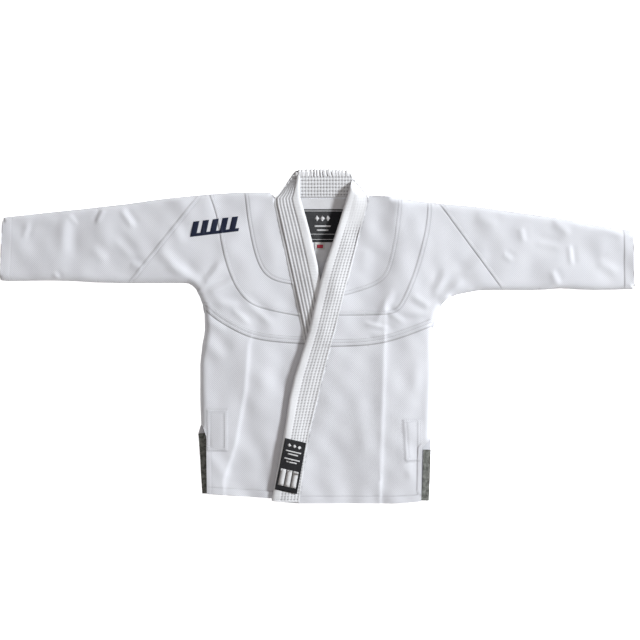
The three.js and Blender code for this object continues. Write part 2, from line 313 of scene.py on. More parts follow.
CREASES = {  # soft folds from one point to another, then their width and height, all in millimetres
    "right": [
        (-662, 262, -676, 222, 6, 1.5),
        (-655, 262, -585, 266, 9, 1.4),
        (-580, 284, -584, 176, 13, 2.2),
        (-573, 280, -548, 252, 5, 1.2),
        (-507, 256, -486, 298, 5, 2.2),
        (-452, 292, -418, 244, 7, 2.4),
        (-470, 225, -420, 172, 10, 1.5),
        (-520, 205, -480, 165, 10, 1.2),
        (-606, 146, -590, 124, 5, 1.8),
        (-430, 168, -398, 150, 8, 1.6),
        (-372, 200, -285, 128, 12, 2.2),
        (-350, 165, -262, 118, 10, 2.0),
        (-330, 262, -312, 205, 11, 1.4),
        (-262, 112, -214, 175, 8, 2.0),
        (-256, 96, -184, 128, 8, 2.0),
        (-240, 78, -150, 60, 9, 1.8),
        (-178, 92, -96, 18, 9, 2.0),
        (-200, 66, -150, 22, 7, 1.6),
        (-262, 40, -205, 8, 9, 1.6),
        (-262, -10, -210, -58, 14, 1.6),
        (-255, -262, -205, -338, 13, 2.2),
        (-140, -60, -90, -210, 20, 1.8),
        (-120, -250, -92, -350, 14, 1.6),
        (-150, 330, -162, 240, 16, 1.4),
    ],
    "left": [
        (578, 212, 584, 158, 5, 2.0),
        (540, 264, 584, 228, 9, 1.8),
        (466, 250, 474, 212, 6, 1.4),
        (424, 190, 450, 170, 6, 1.4),
        (498, 214, 566, 202, 8, 1.2),
        (536, 152, 554, 112, 7, 1.8),
        (650, 256, 712, 222, 9, 2.0),
        (640, 172, 694, 140, 10, 1.6),
        (360, 276, 420, 250, 12, 1.4),
        (330, 130, 398, 196, 14, 1.8),
        (276, 80, 340, 132, 9, 2.0),
        (268, 84, 300, 160, 9, 2.0),
        (262, 66, 212, 96, 8, 2.0),
        (262, 52, 196, 52, 7, 1.8),
        (176, 112, 128, 16, 8, 2.2),
        (104, 30, 178, 12, 5, 1.8),
        (118, 2, 190, 6, 6, 1.8),
        (150, 62, 206, 26, 6, 1.6),
        (112, 206, 104, 140, 14, 1.6),
        (186, 330, 176, 236, 16, 1.4),
        (232, -40, 218, -150, 16, 1.8),
        (92, -130, 112, -290, 18, 2.0),
        (200, -322, 262, -300, 12, 1.8),
        (196, -230, 214, -352, 13, 1.6),
    ],
}


def creases(side, points):
    """The folds that handling left in the cloth, and the one pressed down the front."""
    total = pressed(side, points)
    for x1, y1, x2, y2, width, height in CREASES[side]:
        ends = np.array([(x1, y1), (x2, y2)]) * MM
        total += crease(points, ends[0], ends[1], width * MM, height * MM)
    return total


PRESSED = {  # the fold pressed down each front, from the chest to the hem, in millimetres
    "right": [(-148, 8), (-157, -18), (-165, -123), (-188, -250), (-215, -330)],
    "left": [(157, 90), (155, -20), (152, -123), (148, -240), (144, -372)],
}


def pressed(side, points):
    """A long low ridge, gentle on the side away from the light and steep on the other."""
    x, y = points.T
    line = np.array(PRESSED[side][::-1]) * MM
    across = x - np.interp(y, line[:, 1], line[:, 0])
    ends = ramp((line[-1, 1] + 25 * MM - y) / (70 * MM)) * ramp((y - line[0, 1] + 60 * MM) / (60 * MM))
    gentle = np.exp(-np.abs(across) / (40 * MM))
    steep = np.exp(-np.abs(across) / (4 * MM))
    return 3.6 * MM * ends * np.where(across < 0, gentle, steep)


def ripple(points):
    """What every layer shares: the slow waves of cloth that lies without tension."""
    away = ramp((np.abs(points[:, 0]) - 215 * MM) / (60 * MM))
    return MM * (4.2 * (1 - away) * BODY_WAVES(points) + 2.8 * away * SLEEVE_WAVES(points))


YOKE_ROWS = (1.6, 8.0)  # stitch rows, in millimetres from the seam
ARMHOLE_ROWS = (1.6, 8.0)
GORE_ROWS = (1.6, 8.0)
CHEST_ROWS = (1.8, 9.0, 16.0)
PATCH_ROWS = (1.8, 8.0)
HEM_ROW = 18.0
VENT_ROW = 12.0
CUFF_ROW = 24.0


class Front:
    """The height field of one front and its sleeve, with the lines that shape it."""

    def __init__(self, side):
        self.side = side
        self.outer = np.vstack([closed(l) for ls in PANELS[side] for l in LOOPS[side][ls]])
        self.folds = self.folded_edges()
        owners = {
            "armhole": ("front_panel", shared(side, "front_panel", "underarm_panel")),
            "chest": ("underarm_panel", shared(side, "front_skirt", "underarm_panel")),
            "gore": ("upper_sleeve_front", shared(side, "upper_sleeve_front", "sleeve_gore")),
            "yoke": ("yoke", self.edge_inside("yoke", ["front_panel"])),
        }
        self.armhole, self.chest, self.gore, self.yoke = (self.led(*owners[name]) for name in owners)
        self.hem = self.low_edge()
        self.vent = self.vent_edge()
        self.cuff = self.cuff_edge()

    def folded_edges(self):
        """The stretches of the panels' outlines where the cloth turns over to the back."""
        walls = [closed(loop_of(f"{self.side}_{name}")) for name in FOLDS]
        lines = []
        for panel in PANELS[self.side]:
            others = [closed(l) for p in PANELS[self.side] if p != panel for l in LOOPS[self.side][p]]
            for loop in LOOPS[self.side][panel]:
                ring = resampled(closed(loop), 3 * MM)
                middle = (ring[:-1] + ring[1:]) / 2
                x = middle[:, 0]
                walled = np.min([distance(middle, w) for w in walls], axis=0) < 1.1 * MM
                joint = np.minimum(np.abs(x - HINGE_X[self.side]), np.abs(x - ELBOW_X[self.side])) < 14 * MM
                free = np.min([distance(middle, o) for o in others], axis=0) > 1.2 * MM
                for i in np.flatnonzero((walled | (joint & (middle[:, 1] > 40 * MM))) & free):
                    lines.append((ring[i], ring[i + 1]))
        return lines

    def fold_distance(self, points):
        return nearest(points, self.folds)

    def stitched_seams(self):
        """The seams with their rows of stitches."""
        return [
            (self.yoke, YOKE_ROWS),
            (self.armhole, ARMHOLE_ROWS),
            (self.gore, GORE_ROWS),
            (self.chest, CHEST_ROWS),
        ]

    def edge_inside(self, overlay, panels):
        """The stretch of an overlay's outline that runs over the middle of the panels below it."""
        runs = []
        borders = [closed(l) for p in panels for l in LOOPS[self.side][p]]
        for loop in LOOPS[self.side][overlay]:
            ring = resampled(closed(loop), 4 * MM)[:-1]
            free = np.min([distance(ring, b) for b in borders], axis=0) > 1.4 * MM
            turn = int(np.argmin(free))
            ring, free = np.roll(ring, -turn, axis=0), np.roll(free, -turn)
            run = []
            for point, is_free in zip(ring, free):
                if is_free:
                    run.append(point)
                elif len(run) > 1:
                    runs.append(np.array(run))
                    run = []
            if len(run) > 1:
                runs.append(np.array(run))
        return join_runs(runs)

    def led(self, owner, line):
        """The line smoothed and turned so that the cloth that overlaps lies on its left."""
        line = eased(evenly(line, 4 * MM)[0], 9)
        middle = len(line) // 2
        probe = offset_line(line, 4 * MM)[middle : middle + 1]
        return line if in_any(probe, LOOPS[self.side][owner])[0] else line[::-1]

    def low_edge(self):
        """The hem, as the lowest point of the skirt at each step across."""
        rings = [resampled(closed(l), 2 * MM) for l in LOOPS[self.side]["front_skirt"]]
        every = np.vstack(rings)
        every = every[every[:, 1] < -355 * MM]
        columns = np.arange(every[:, 0].min() + 2 * MM, every[:, 0].max() - 2 * MM, 4 * MM)
        low = [every[np.abs(every[:, 0] - x) < 2.2 * MM][:, 1].min() for x in columns]
        return np.column_stack([columns, low])

    def vent_edge(self):
        ring = resampled(closed(np.vstack(LOOPS[self.side]["front_skirt"])), 4 * MM)
        out = OUT[self.side]
        side_x = out * np.max(ring[ring[:, 1] < -250 * MM][:, 0] * out)
        near = (np.abs(ring[:, 0] - side_x) < 9 * MM) & (ring[:, 1] < -256 * MM) & (ring[:, 1] > -360 * MM)
        line = ring[near]
        return line[np.argsort(-line[:, 1])]

    def cuff_edge(self):
        ring = LOOPS[self.side]["forearm_front"][0]
        far = ring[ring[:, 0] * OUT[self.side] > 0.718]
        return downwards(far[np.argsort(-far[:, 1])])

    def base(self, points):
        """The laid height, without folds and seams."""
        body, sleeve = HIGH[self.side]
        out = OUT[self.side]
        t = ramp((points[:, 0] * out - 200 * MM) / (110 * MM))
        return (body + (sleeve - body) * t) * settled(points[:, 1])

    def seams(self, points):
        """Doubled cloth and the grooves of the stitch rows along each seam."""
        total = np.zeros(len(points))
        side = self.side
        on_patch = in_any(points, LOOPS[side]["vent_patch"])
        for line, rows, width in (
            (self.yoke, YOKE_ROWS, 60.0),
            (self.armhole, ARMHOLE_ROWS, 9.5),
            (self.gore, GORE_ROWS, 9.5),
            (self.chest, CHEST_ROWS, 18.0),
        ):
            reach = self.side_of(line, points)
            far = 30 * MM if line is self.yoke else 2 * MM
            total += 0.9 * MM * ramp(reach / (1.2 * MM)) * ramp((width * MM - reach) / far)
            total -= 0.5 * MM * bump(reach, 0.9 * MM)
            for row in rows:
                total -= 0.5 * MM * bump(reach - row * MM, 1.0 * MM)
        patch = closed(LOOPS[side]["vent_patch"][0])
        d = distance(points, patch)
        total += np.where(on_patch, 0.9 * MM * ramp(d / (1.2 * MM)), 0)
        for row in PATCH_ROWS:
            total -= np.where(on_patch, 0.45 * MM * bump(d - row * MM, 0.8 * MM), 0)
        for line, row in self.hems():
            d = distance(points, line)
            total += 0.8 * MM * ramp((row * MM - d) / (2 * MM))
            total -= 0.6 * MM * bump(d - (row - 1.5) * MM, 0.9 * MM)
        return total

    def hems(self):
        return (self.hem, HEM_ROW), (self.vent, VENT_ROW), (self.cuff, CUFF_ROW)

    def painted_shade(self, points):
        """How much painted shade each point gets, from 0 to 1: in the seams' grooves and stitch rows, along the
        vent patch and the hems, and as a painted shadow right at the folded edges.
        """
        total = np.zeros(len(points))
        for line, rows, edge in (
            (self.yoke, YOKE_ROWS, 0.22),
            (self.armhole, ARMHOLE_ROWS, 0.25),
            (self.gore, GORE_ROWS, 0.1),
            (self.chest, CHEST_ROWS, 0.45),
        ):
            reach = self.side_of(line, points)
            total += edge * bump(reach, 1.2 * MM)
            total += sum((0.2 + 0.3 * edge) * bump(reach - row * MM, 1.1 * MM) for row in rows)
        on_patch = in_any(points, LOOPS[self.side]["vent_patch"])
        d = distance(points, closed(LOOPS[self.side]["vent_patch"][0]))
        stitched = np.where(on_patch, bump(d - PATCH_ROWS[1] * MM, 1.1 * MM), 0)
        total += 0.15 * bump(d, 1.2 * MM) + 0.16 * stitched
        for line, row in self.hems():
            total += 0.32 * bump(distance(points, line) - (row - 1.5) * MM, 1.1 * MM)
        folded = self.fold_distance(points)
        # painted shadow along the folded edges, where the cloth turns under
        return np.clip(total * ramp(folded / (6 * MM)) + 0.3 * bump(folded, 2.4 * MM), 0, 1)

    def side_of(self, line, points):
        """Signed distance, positive on the side that carries the doubled cloth."""
        best, sign = np.full(len(points), 9.0), np.ones(len(points))
        for p, q in zip(line[:-1], line[1:]):
            d = q - p
            away = points - p
            t = np.clip((away @ d) / (d @ d), 0, 1)
            gap = np.hypot(*(away - t[:, None] * d).T)
            nearer = gap < best
            best = np.where(nearer, gap, best)
            sign = np.where(nearer, np.sign(away @ np.array([-d[1], d[0]])), sign)
        return best * sign

    def height(self, points, seams=True):
        d = self.fold_distance(points)
        rise = np.sqrt(np.clip(1 - (1 - np.clip(d / ROLL, 0, 1)) ** 2, 0, 1))
        high = self.base(points) + ripple(points) * rise + creases(self.side, points) * rise
        if seams:
            high += self.seams(points) * (0.3 + 0.7 * rise)
        return FOLD_TOP + (high - FOLD_TOP) * rise


FRONT = {side: Front(side) for side in PANELS}


# ---- Materials ----
def shader(name, colour, roughness, sheen=0.0):
    mat = bpy.data.materials.new(name)
    mat.use_nodes = True
    bsdf = mat.node_tree.nodes["Principled BSDF"]
    bsdf.inputs["Base Color"].default_value = (*colour, 1)
    bsdf.inputs["Roughness"].default_value = roughness
    bsdf.inputs["Sheen Weight"].default_value = sheen
    bsdf.inputs["Specular IOR Level"].default_value = 0.25
    return mat, mat.node_tree, bsdf


def math_node(tree, operation, *values):
    node = tree.nodes.new("ShaderNodeMath")
    node.operation = operation
    for socket, value in zip(node.inputs, values):
        if isinstance(value, (int, float)):
            socket.default_value = value
        else:
            tree.links.new(value, socket)
    return node.outputs[0]


def cloth_axes(tree, turn=0.0):
    """The cloth's own two directions, in millimetres, as separate sockets."""
    uv = tree.nodes.new("ShaderNodeUVMap")
    uv.uv_map = "cloth"
    mapping = tree.nodes.new("ShaderNodeMapping")
    mapping.inputs["Rotation"].default_value = (0, 0, turn)
    mapping.inputs["Scale"].default_value = (1000, 1000, 1)
    tree.links.new(uv.outputs[0], mapping.inputs[0])
    split = tree.nodes.new("ShaderNodeSeparateXYZ")
    tree.links.new(mapping.outputs[0], split.inputs[0])
    return split.outputs[0], split.outputs[1], mapping.outputs[0]


def noise(tree, vector, scale, detail=3.0, distortion=0.0):
    node = tree.nodes.new("ShaderNodeTexNoise")
    node.inputs["Scale"].default_value = scale
    node.inputs["Detail"].default_value = detail
    node.inputs["Distortion"].default_value = distortion
    tree.links.new(vector, node.inputs["Vector"])
    return node.outputs["Fac"]


def grains(tree, x, y, length, height):
    """Rows of rice-grain loops, each row shifted by half a grain, as pearl weave has."""
    rows = math_node(tree, "DIVIDE", y, height)
    row = math_node(tree, "FLOOR", rows)
    half_row = math_node(tree, "MULTIPLY", row, 0.5)
    shifted = math_node(tree, "ADD", math_node(tree, "DIVIDE", x, length), half_row)
    along = math_node(tree, "SINE", math_node(tree, "MULTIPLY", math_node(tree, "FRACT", shifted), math.pi))
    across = math_node(tree, "SINE", math_node(tree, "MULTIPLY", math_node(tree, "FRACT", rows), math.pi))
    return math_node(tree, "MULTIPLY", along, across)


def tint(tree, bsdf, factor, dark, light, low=0.0, high=1.0, painted_dark=None):
    """Colours the surface between two tones by a factor, and towards a dark tone of painted shade as far as the
    mesh's painted shade attribute asks.
    """
    node = tree.nodes.new("ShaderNodeValToRGB")
    node.color_ramp.elements[0].position = low
    node.color_ramp.elements[1].position = high
    node.color_ramp.elements[0].color = (*dark, 1)
    node.color_ramp.elements[1].color = (*light, 1)
    tree.links.new(factor, node.inputs[0])
    colour = node.outputs[0]
    if painted_dark:
        painted_shade = tree.nodes.new("ShaderNodeAttribute")
        painted_shade.attribute_name = "painted_shade"
        mix = tree.nodes.new("ShaderNodeMix")
        mix.data_type = "RGBA"
        for socket in mix.inputs:
            if socket.identifier == "A_Color":
                tree.links.new(colour, socket)
            if socket.identifier == "B_Color":
                socket.default_value = (*painted_dark, 1)
            if socket.identifier == "Factor_Float":
                tree.links.new(painted_shade.outputs["Fac"], socket)
        colour = next(o for o in mix.outputs if o.identifier == "Result_Color")
    tree.links.new(colour, bsdf.inputs["Base Color"])


def relief(tree, bsdf, height, depth, strength=1.0):
    node = tree.nodes.new("ShaderNodeBump")
    node.inputs["Strength"].default_value = strength
    node.inputs["Distance"].default_value = depth
    tree.links.new(height, node.inputs["Height"])
    tree.links.new(node.outputs[0], bsdf.inputs["Normal"])


def mixed(tree, a, b, share):
    """a and b added, b in that share."""
    return math_node(tree, "ADD", a, math_node(tree, "MULTIPLY", b, share))


PAINTED_SHADE_TONE = (0.15, 0.14, 0.145)  # painted shade in stitched grooves and quilting pits, in the collar's gathers and at folded edges, with the thread's grey in the stitched rows


def pearl_weave():
    mat, tree, bsdf = shader("pearl weave cotton", (0.7, 0.7, 0.72), 0.92, 0.12)
    x, y, place = cloth_axes(tree)
    grain = grains(tree, x, y, 4.4, 2.3)
    slub = noise(tree, place, 0.9, 2.0)
    cloud = noise(tree, place, 0.012, 3.0)
    factor = mixed(tree, math_node(tree, "MULTIPLY", grain, 0.7), cloud, 0.35)
    factor = mixed(tree, factor, slub, 0.12)
    tint(tree, bsdf, factor, (0.62, 0.63, 0.675), (0.80, 0.81, 0.845), 0.15, 0.95, PAINTED_SHADE_TONE)
    relief(tree, bsdf, mixed(tree, grain, slub, 0.35), 0.5 * MM, 0.9)
    return mat


def twill(name, dark, light, pitch=1.1, turn=0.9, depth=0.12):
    mat, tree, bsdf = shader(name, light, 0.85, 0.1)
    x, _, place = cloth_axes(tree, turn)
    ribs = math_node(tree, "SINE", math_node(tree, "MULTIPLY", x, 2 * math.pi / pitch))
    fuzz = noise(tree, place, 0.6, 4.0)
    cloud = noise(tree, place, 0.02, 2.0)
    factor = mixed(tree, math_node(tree, "MULTIPLY", ribs, 0.12), mixed(tree, fuzz, cloud, 0.8), 0.55)
    tint(tree, bsdf, factor, dark, light, painted_dark=PAINTED_SHADE_TONE)
    relief(tree, bsdf, mixed(tree, ribs, fuzz, 0.8), depth * MM, 0.8)
    return mat


def tape_cloth():
    mat, tree, bsdf = shader("charcoal herringbone tape", (0.06, 0.06, 0.055), 0.75, 0.2)
    x, y, place = cloth_axes(tree)
    zigzag = math_node(tree, "PINGPONG", x, 4.0)
    herringbone = math_node(tree, "ADD", y, zigzag)
    ribs = math_node(tree, "SINE", math_node(tree, "MULTIPLY", herringbone, 2 * math.pi / 2.2))
    fleck = noise(tree, place, 0.11, 2.0, 0.4)
    factor = mixed(tree, math_node(tree, "MULTIPLY", ribs, 0.1), fleck, 1.0)
    tint(tree, bsdf, factor, (0.055, 0.058, 0.05), (0.30, 0.31, 0.285), 0.25, 0.75)
    relief(tree, bsdf, mixed(tree, ribs, fleck, 1.5), 0.25 * MM, 0.8)
    return mat


def satin_thread(name, colour, pitch=0.7, turn=1.2):
    mat, tree, bsdf = shader(name, colour, 0.45, 0.0)
    x, _, place = cloth_axes(tree, turn)
    ribs = math_node(tree, "SINE", math_node(tree, "MULTIPLY", x, 2 * math.pi / pitch))
    fuzz = noise(tree, place, 0.5, 2.0)
    light = tuple(c * 1.9 + 0.004 for c in colour)
    tint(tree, bsdf, mixed(tree, math_node(tree, "MULTIPLY", ribs, 0.25), fuzz, 0.7), colour, light)
    relief(tree, bsdf, ribs, 0.1 * MM, 0.8)
    return mat


MATERIAL = {
    "pearl_weave": pearl_weave(),
    "lapel_drill": twill("white cotton drill", (0.70, 0.71, 0.735), (0.88, 0.885, 0.905)),
    "lining": twill("white facing cloth", (0.60, 0.605, 0.63), (0.76, 0.76, 0.78), 0.9, 0.3, 0.08),
    "contrast_tape": tape_cloth(),
    "shoulder_mark": satin_thread("navy embroidery", (0.006, 0.010, 0.028)),
    "woven_label": satin_thread("black woven label", (0.006, 0.006, 0.008), 0.5, 0.0),
    "label_yarn": satin_thread("pale woven yarn", (0.50, 0.50, 0.51), 0.6, 1.57),
    "size_tag": satin_thread("white ribbon", (0.45, 0.44, 0.43), 0.5, 0.0),
    "red_yarn": satin_thread("red woven yarn", (0.38, 0.03, 0.05), 0.6, 1.57),
    # The thread's grey, darker than the cloth, is partly painted shade of the pits that the stitches pull into the
    # cloth.
    "thread": twill("sewing thread", (0.42, 0.42, 0.45), (0.62, 0.62, 0.65), 0.8, 0.6, 0.05),
}


# ---- Meshes ----
def add_mesh(name, points, faces, material, uv=None, sharp=(), painted_shade=None):
    """A smooth mesh with the cloth's own coordinates.

    sharp lists vertex pairs whose edge stays crisp, and the last argument gives each point's painted shade, from 0
    to 1, which darkens the cloth's colour.
    """
    mesh = bpy.data.meshes.new(name)
    mesh.from_pydata([tuple(p) for p in points], [], [tuple(int(i) for i in f) for f in faces])
    mesh.update()
    mesh.polygons.foreach_set("use_smooth", np.ones(len(mesh.polygons), bool))
    layer = mesh.uv_layers.new(name="cloth")
    corner = np.empty(len(mesh.loops), np.int32)
    mesh.loops.foreach_get("vertex_index", corner)
    flat = np.asarray(points)[:, :2] if uv is None else np.asarray(uv)
    layer.data.foreach_set("uv", flat[corner].astype(np.float32).ravel())
    if len(sharp):
        wanted = {tuple(sorted(pair)) for pair in sharp}
        flags = [tuple(sorted(e.vertices)) in wanted for e in mesh.edges]
        mark = mesh.attributes.new("sharp_edge", "BOOLEAN", "EDGE")
        mark.data.foreach_set("value", flags)
    if painted_shade is not None:
        mesh.attributes.new("painted_shade", "FLOAT", "POINT").data.foreach_set("value", painted_shade.astype(np.float32))
    mesh.materials.append(MATERIAL[material])
    obj = bpy.data.objects.new(name, mesh)
    bpy.context.scene.collection.objects.link(obj)
    return obj


def slab(name, plan, triangles, top, bottom, material, painted_shade=None):
    """A closed sheet over a flat triangulation, with its rim joined."""
    used = np.unique(triangles)
    index = np.full(len(plan), -1)
    index[used] = np.arange(len(used))
    tri = index[triangles]
    plan, top, bottom = plan[used], top[used], bottom[used]
    n = len(used)
    if painted_shade is not None:
        painted_shade = np.concatenate([painted_shade[used], np.zeros(n)])
    points = np.vstack([np.column_stack([plan, top]), np.column_stack([plan, bottom])])
    edges = {}
    for a, b, c in tri:
        for pair in ((a, b), (b, c), (c, a)):
            edges[pair] = True
    rim = [(a, b) for a, b in edges if (b, a) not in edges]
    faces = [*tri.tolist(), *(tri[:, ::-1] + n).tolist()]
    faces += [(a, a + n, b + n, b) for a, b in rim]
    sharp = [(a, b) for a, b in rim] + [(a + n, b + n) for a, b in rim]
    return add_mesh(name, points, faces, material, sharp=sharp, painted_shade=painted_shade)


def triangulated(points, edges):
    """Triangles over points that keep the given edges, all anticlockwise."""
    out = delaunay_2d_cdt([tuple(p) for p in points], edges, [], 0, 1e-7, False)
    plan = np.array([tuple(v) for v in out[0]])
    tri = np.array([f for f in out[2] if len(f) == 3])
    a, b, c = plan[tri[:, 0]], plan[tri[:, 1]], plan[tri[:, 2]]
    area = np.cross(b - a, c - a)
    tri[area < 0] = tri[area < 0][:, ::-1]
    return plan, tri[np.abs(area) > 1e-12]


def hexagonal(low, high, step):
    rows = np.arange(low[1], high[1], step * 0.866)
    cols = np.arange(low[0], high[0], step)
    x, y = np.meshgrid(cols, rows)
    x[1::2] += step / 2
    return np.column_stack([x.ravel(), y.ravel()])


def thinned(points, gap):
    """Drops every point that is closer than gap to one kept before it."""
    cell = {}
    kept = []
    for i, (x, y) in enumerate(points):
        cx, cy = int(x // gap), int(y // gap)
        near = False
        for u in (cx - 1, cx, cx + 1):
            for v in (cy - 1, cy, cy + 1):
                for j in cell.get((u, v), ()):
                    if (points[j][0] - x) ** 2 + (points[j][1] - y) ** 2 < gap * gap:
                        near = True
        if not near:
            cell.setdefault((cx, cy), []).append(i)
            kept.append(i)
    return points[kept]


def plan_of(loops_by_panel, rows, step):
    """One triangulation over several panels: (plan, triangles, panel name of each triangle)."""
    points, edges = [], []
    loops = [l for ls in loops_by_panel.values() for l in ls]
    for loop in loops:
        ring = resampled(closed(loop), step)[:-1]
        first = len(points)
        points.extend(ring)
        edges.extend((first + i, first + (i + 1) % len(ring)) for i in range(len(ring)))
    borders = [closed(l) for l in loops]
    fixed = len(points)
    low, high = np.min(points, axis=0), np.max(points, axis=0)
    grid = hexagonal(low, high, step)
    rows = np.vstack(rows) if rows else np.zeros((0, 2))
    if len(rows):
        rows = thinned(rows, 0.85 * MM)
        rows = rows[in_any(rows, loops)]
        rows = rows[np.min([distance(rows, b) for b in borders], axis=0) > 0.7 * MM]
    grid = grid[in_any(grid, loops)]
    grid = grid[np.min([distance(grid, b) for b in borders], axis=0) > 0.45 * step]
    if len(rows):
        grid = thinned_against(grid, rows, 0.5 * step)
    points = np.vstack([np.array(points[:fixed]), rows, grid])
    plan, tri = triangulated(points, edges)
    centre = plan[tri].mean(1)
    names = list(loops_by_panel)
    owner = np.full(len(tri), -1)
    for i, name in enumerate(names):
        owner[in_any(centre, loops_by_panel[name])] = i
    lost = np.flatnonzero(owner < 0)
    reach = np.array(
        [np.min([distance(centre[lost], closed(l)) for l in loops_by_panel[n]], axis=0) for n in names]
    )
    close = reach.min(0) < NARROW
    owner[lost[close]] = reach.argmin(0)[close]
    keep = owner >= 0
    return plan, tri[keep], np.array(names)[owner[keep]]


def thinned_against(points, others, gap):
    """The points that are at least gap away from all the others."""
    cell = {}
    for x, y in others:
        cell.setdefault((int(x // gap), int(y // gap)), []).append((x, y))
    kept = []
    for x, y in points:
        cx, cy = int(x // gap), int(y // gap)
        near = any(
            (px - x) ** 2 + (py - y) ** 2 < gap * gap
            for u in (cx - 1, cx, cx + 1)
            for v in (cy - 1, cy, cy + 1)
            for px, py in cell.get((u, v), ())
        )
        if not near:
            kept.append((x, y))
    return np.array(kept)


# ---- How the pieces are grouped and placed; the bend functions only bake a piece's transform in ----
SPLIT_X = 430 * MM  # the sleeve is cut here, between shoulder and elbow
FLAP_SPLIT_X = 200 * MM


def bend_shoulder(obj):
    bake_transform(obj)


def bend_elbow(obj):
    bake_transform(obj)


def bend_flap(obj):
    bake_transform(obj)


def ride_torso(obj):
    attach(obj, "torso")


def move(obj, zone, side):
    """Sorts a piece by the zone of the jacket that it lies in: a piece of the right front's body is attached to
    the torso, and every other piece only has its transform baked in.
    """
    if zone == "forearm":
        bend_elbow(obj)
    elif zone == "sleeve":
        bend_shoulder(obj)
    elif side == "left":
        bend_flap(obj)
    else:
        ride_torso(obj)


def zones(points, side):
    """body, sleeve or forearm for each point."""
    x = points[:, 0] * OUT[side]
    edge = FLAP_SPLIT_X if side == "left" else 250 * MM
    return np.where(x > SPLIT_X, "forearm", np.where(x > edge, "sleeve", "body"))


# ---- The fronts and sleeves ----
SLEEVE_CUTS = {
    "upper_sleeve": (
        "upper_sleeve_front",
        "sleeve",
        "upper_sleeve_front upper_sleeve_fold upper_sleeve_seam",
    ),
    "forearm": ("forearm_front", "forearm", "forearm_front forearm_fold forearm_seam"),
}
CUTS = {
    "right": {
        "front_panel": ("front_panel", "body", "front_panel yoke"),
        "front_skirt": ("front_skirt", "body", "front_skirt vent_patch side_seam"),
        "underarm": ("underarm", "sleeve", "underarm_panel sleeve_gore chest_band shoulder_fold"),
        **SLEEVE_CUTS,
    },
    "left": {
        "front_panel": ("front_panel", "body", "front_panel front_panel_root yoke yoke_root"),
        "front_skirt": ("front_skirt", "body", "front_skirt front_skirt_root vent_patch side_seam"),
        "chest": ("chest", "body", "underarm_panel chest_band chest_band_root"),
        "underarm": ("underarm", "sleeve", "underarm_panel_root sleeve_gore shoulder_fold"),
        **SLEEVE_CUTS,
    },
}
FRONT_PIECES = {
    side: {
        f"{side}_{piece}_cloth": (panel, kind, [f"{side}_{node}" for node in nodes.split()])
        for piece, (panel, kind, nodes) in cuts.items()
    }
    for side, cuts in CUTS.items()
}


def seam_rows(front):
    """Points along the seams, hems and folds, close enough to carry their relief."""
    rows = []
    for line, stitched in front.stitched_seams():
        offsets = [-2.4, -1.1, 0.3]
        offsets += [row + value for row in stitched for value in (-1.3, 0, 1.3)]
        offsets += [stitched[-1] + 3.0]
        rows += [evenly(offset_line(line, value * MM), FINE)[0] for value in offsets]
    for line, row in front.hems():
        for value in (2.2, row - 4.2, row - 2.7, row - 1.5, row - 0.2, row + 1.8):
            rows.append(evenly(offset_line(line, value * MM), FINE)[0])
            rows.append(evenly(offset_line(line, -value * MM), FINE)[0])
    patch = closed(LOOPS[front.side]["vent_patch"][0])
    for value in (-0.5, 0.9, 1.8, 3.2, 6.7, 8.0, 9.3):
        rows.append(evenly(offset_line(patch, value * MM), FINE)[0])
    for a, b in front.folds:
        along = (b - a) / max(np.hypot(*(b - a)), 1e-9)
        normal = np.array([-along[1], along[0]])
        for value in (1.3, 3.6, 7.0, 11.0):
            rows.append(np.array([(a + b) / 2 + normal * value * MM]))
    return rows


def make_front(side):
    front = FRONT[side]
    loops = {name: LOOPS[side][name] for name in PANELS[side]}
    plan, tri, owner = plan_of(loops, seam_rows(front), STEP)
    top = front.height(plan)
    bottom = np.maximum(top - CLOTH, 0.3 * MM)
    painted_shade = front.painted_shade(plan)
    centre = plan[tri].mean(1)
    x = centre[:, 0] * OUT[side]
    group = owner.astype("<U20")
    underarm = np.isin(owner, ("underarm_panel", "sleeve_gore"))
    group[underarm] = "underarm"
    if side == "left":
        group[underarm & (x < FLAP_SPLIT_X)] = "chest"
    group[(owner == "upper_sleeve_front") & (x > SPLIT_X)] = "forearm_front"
    for name, (panel, zone, nodes) in FRONT_PIECES[side].items():
        mine = tri[group == panel]
        obj = slab(name, plan, mine, top, bottom, "pearl_weave", painted_shade)
        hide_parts(*nodes)
        move(obj, zone, side)


for each_side in PANELS:
    make_front(each_side)


# ---- The back, from cuff to cuff ----
INSET = 1.6 * MM  # the back stops just inside the rounded folds
SLEEVE_FROM = 285 * MM  # past this, a folded edge is a sleeve's and moves in along Y only
SLEEVE_MIDDLE = {"right": np.array([-400, 205]) * MM, "left": np.array([400, 190]) * MM}
BACK_PARTS = {
    "back": "back_panel",
    "right_sleeve": "right_upper_sleeve_back",
    "left_sleeve": "left_upper_sleeve_back",
    "right_forearm": "right_forearm_back",
    "left_forearm": "left_forearm_back",
}


def inset(plan, edge):
    """The plan with its folded edges moved in, towards the middle of the body or sleeve."""
    middle = np.where(plan[:, :1] < 0, SLEEVE_MIDDLE["right"], SLEEVE_MIDDLE["left"])
    on_sleeve = np.abs(plan[:, :1]) > SLEEVE_FROM
    aim = np.where(on_sleeve, (middle - plan) * np.array([0, 1]), -plan)
    length = np.maximum(np.hypot(*aim.T), 1e-9)[:, None]
    return plan + np.where(edge[:, None], aim / length * INSET, 0)


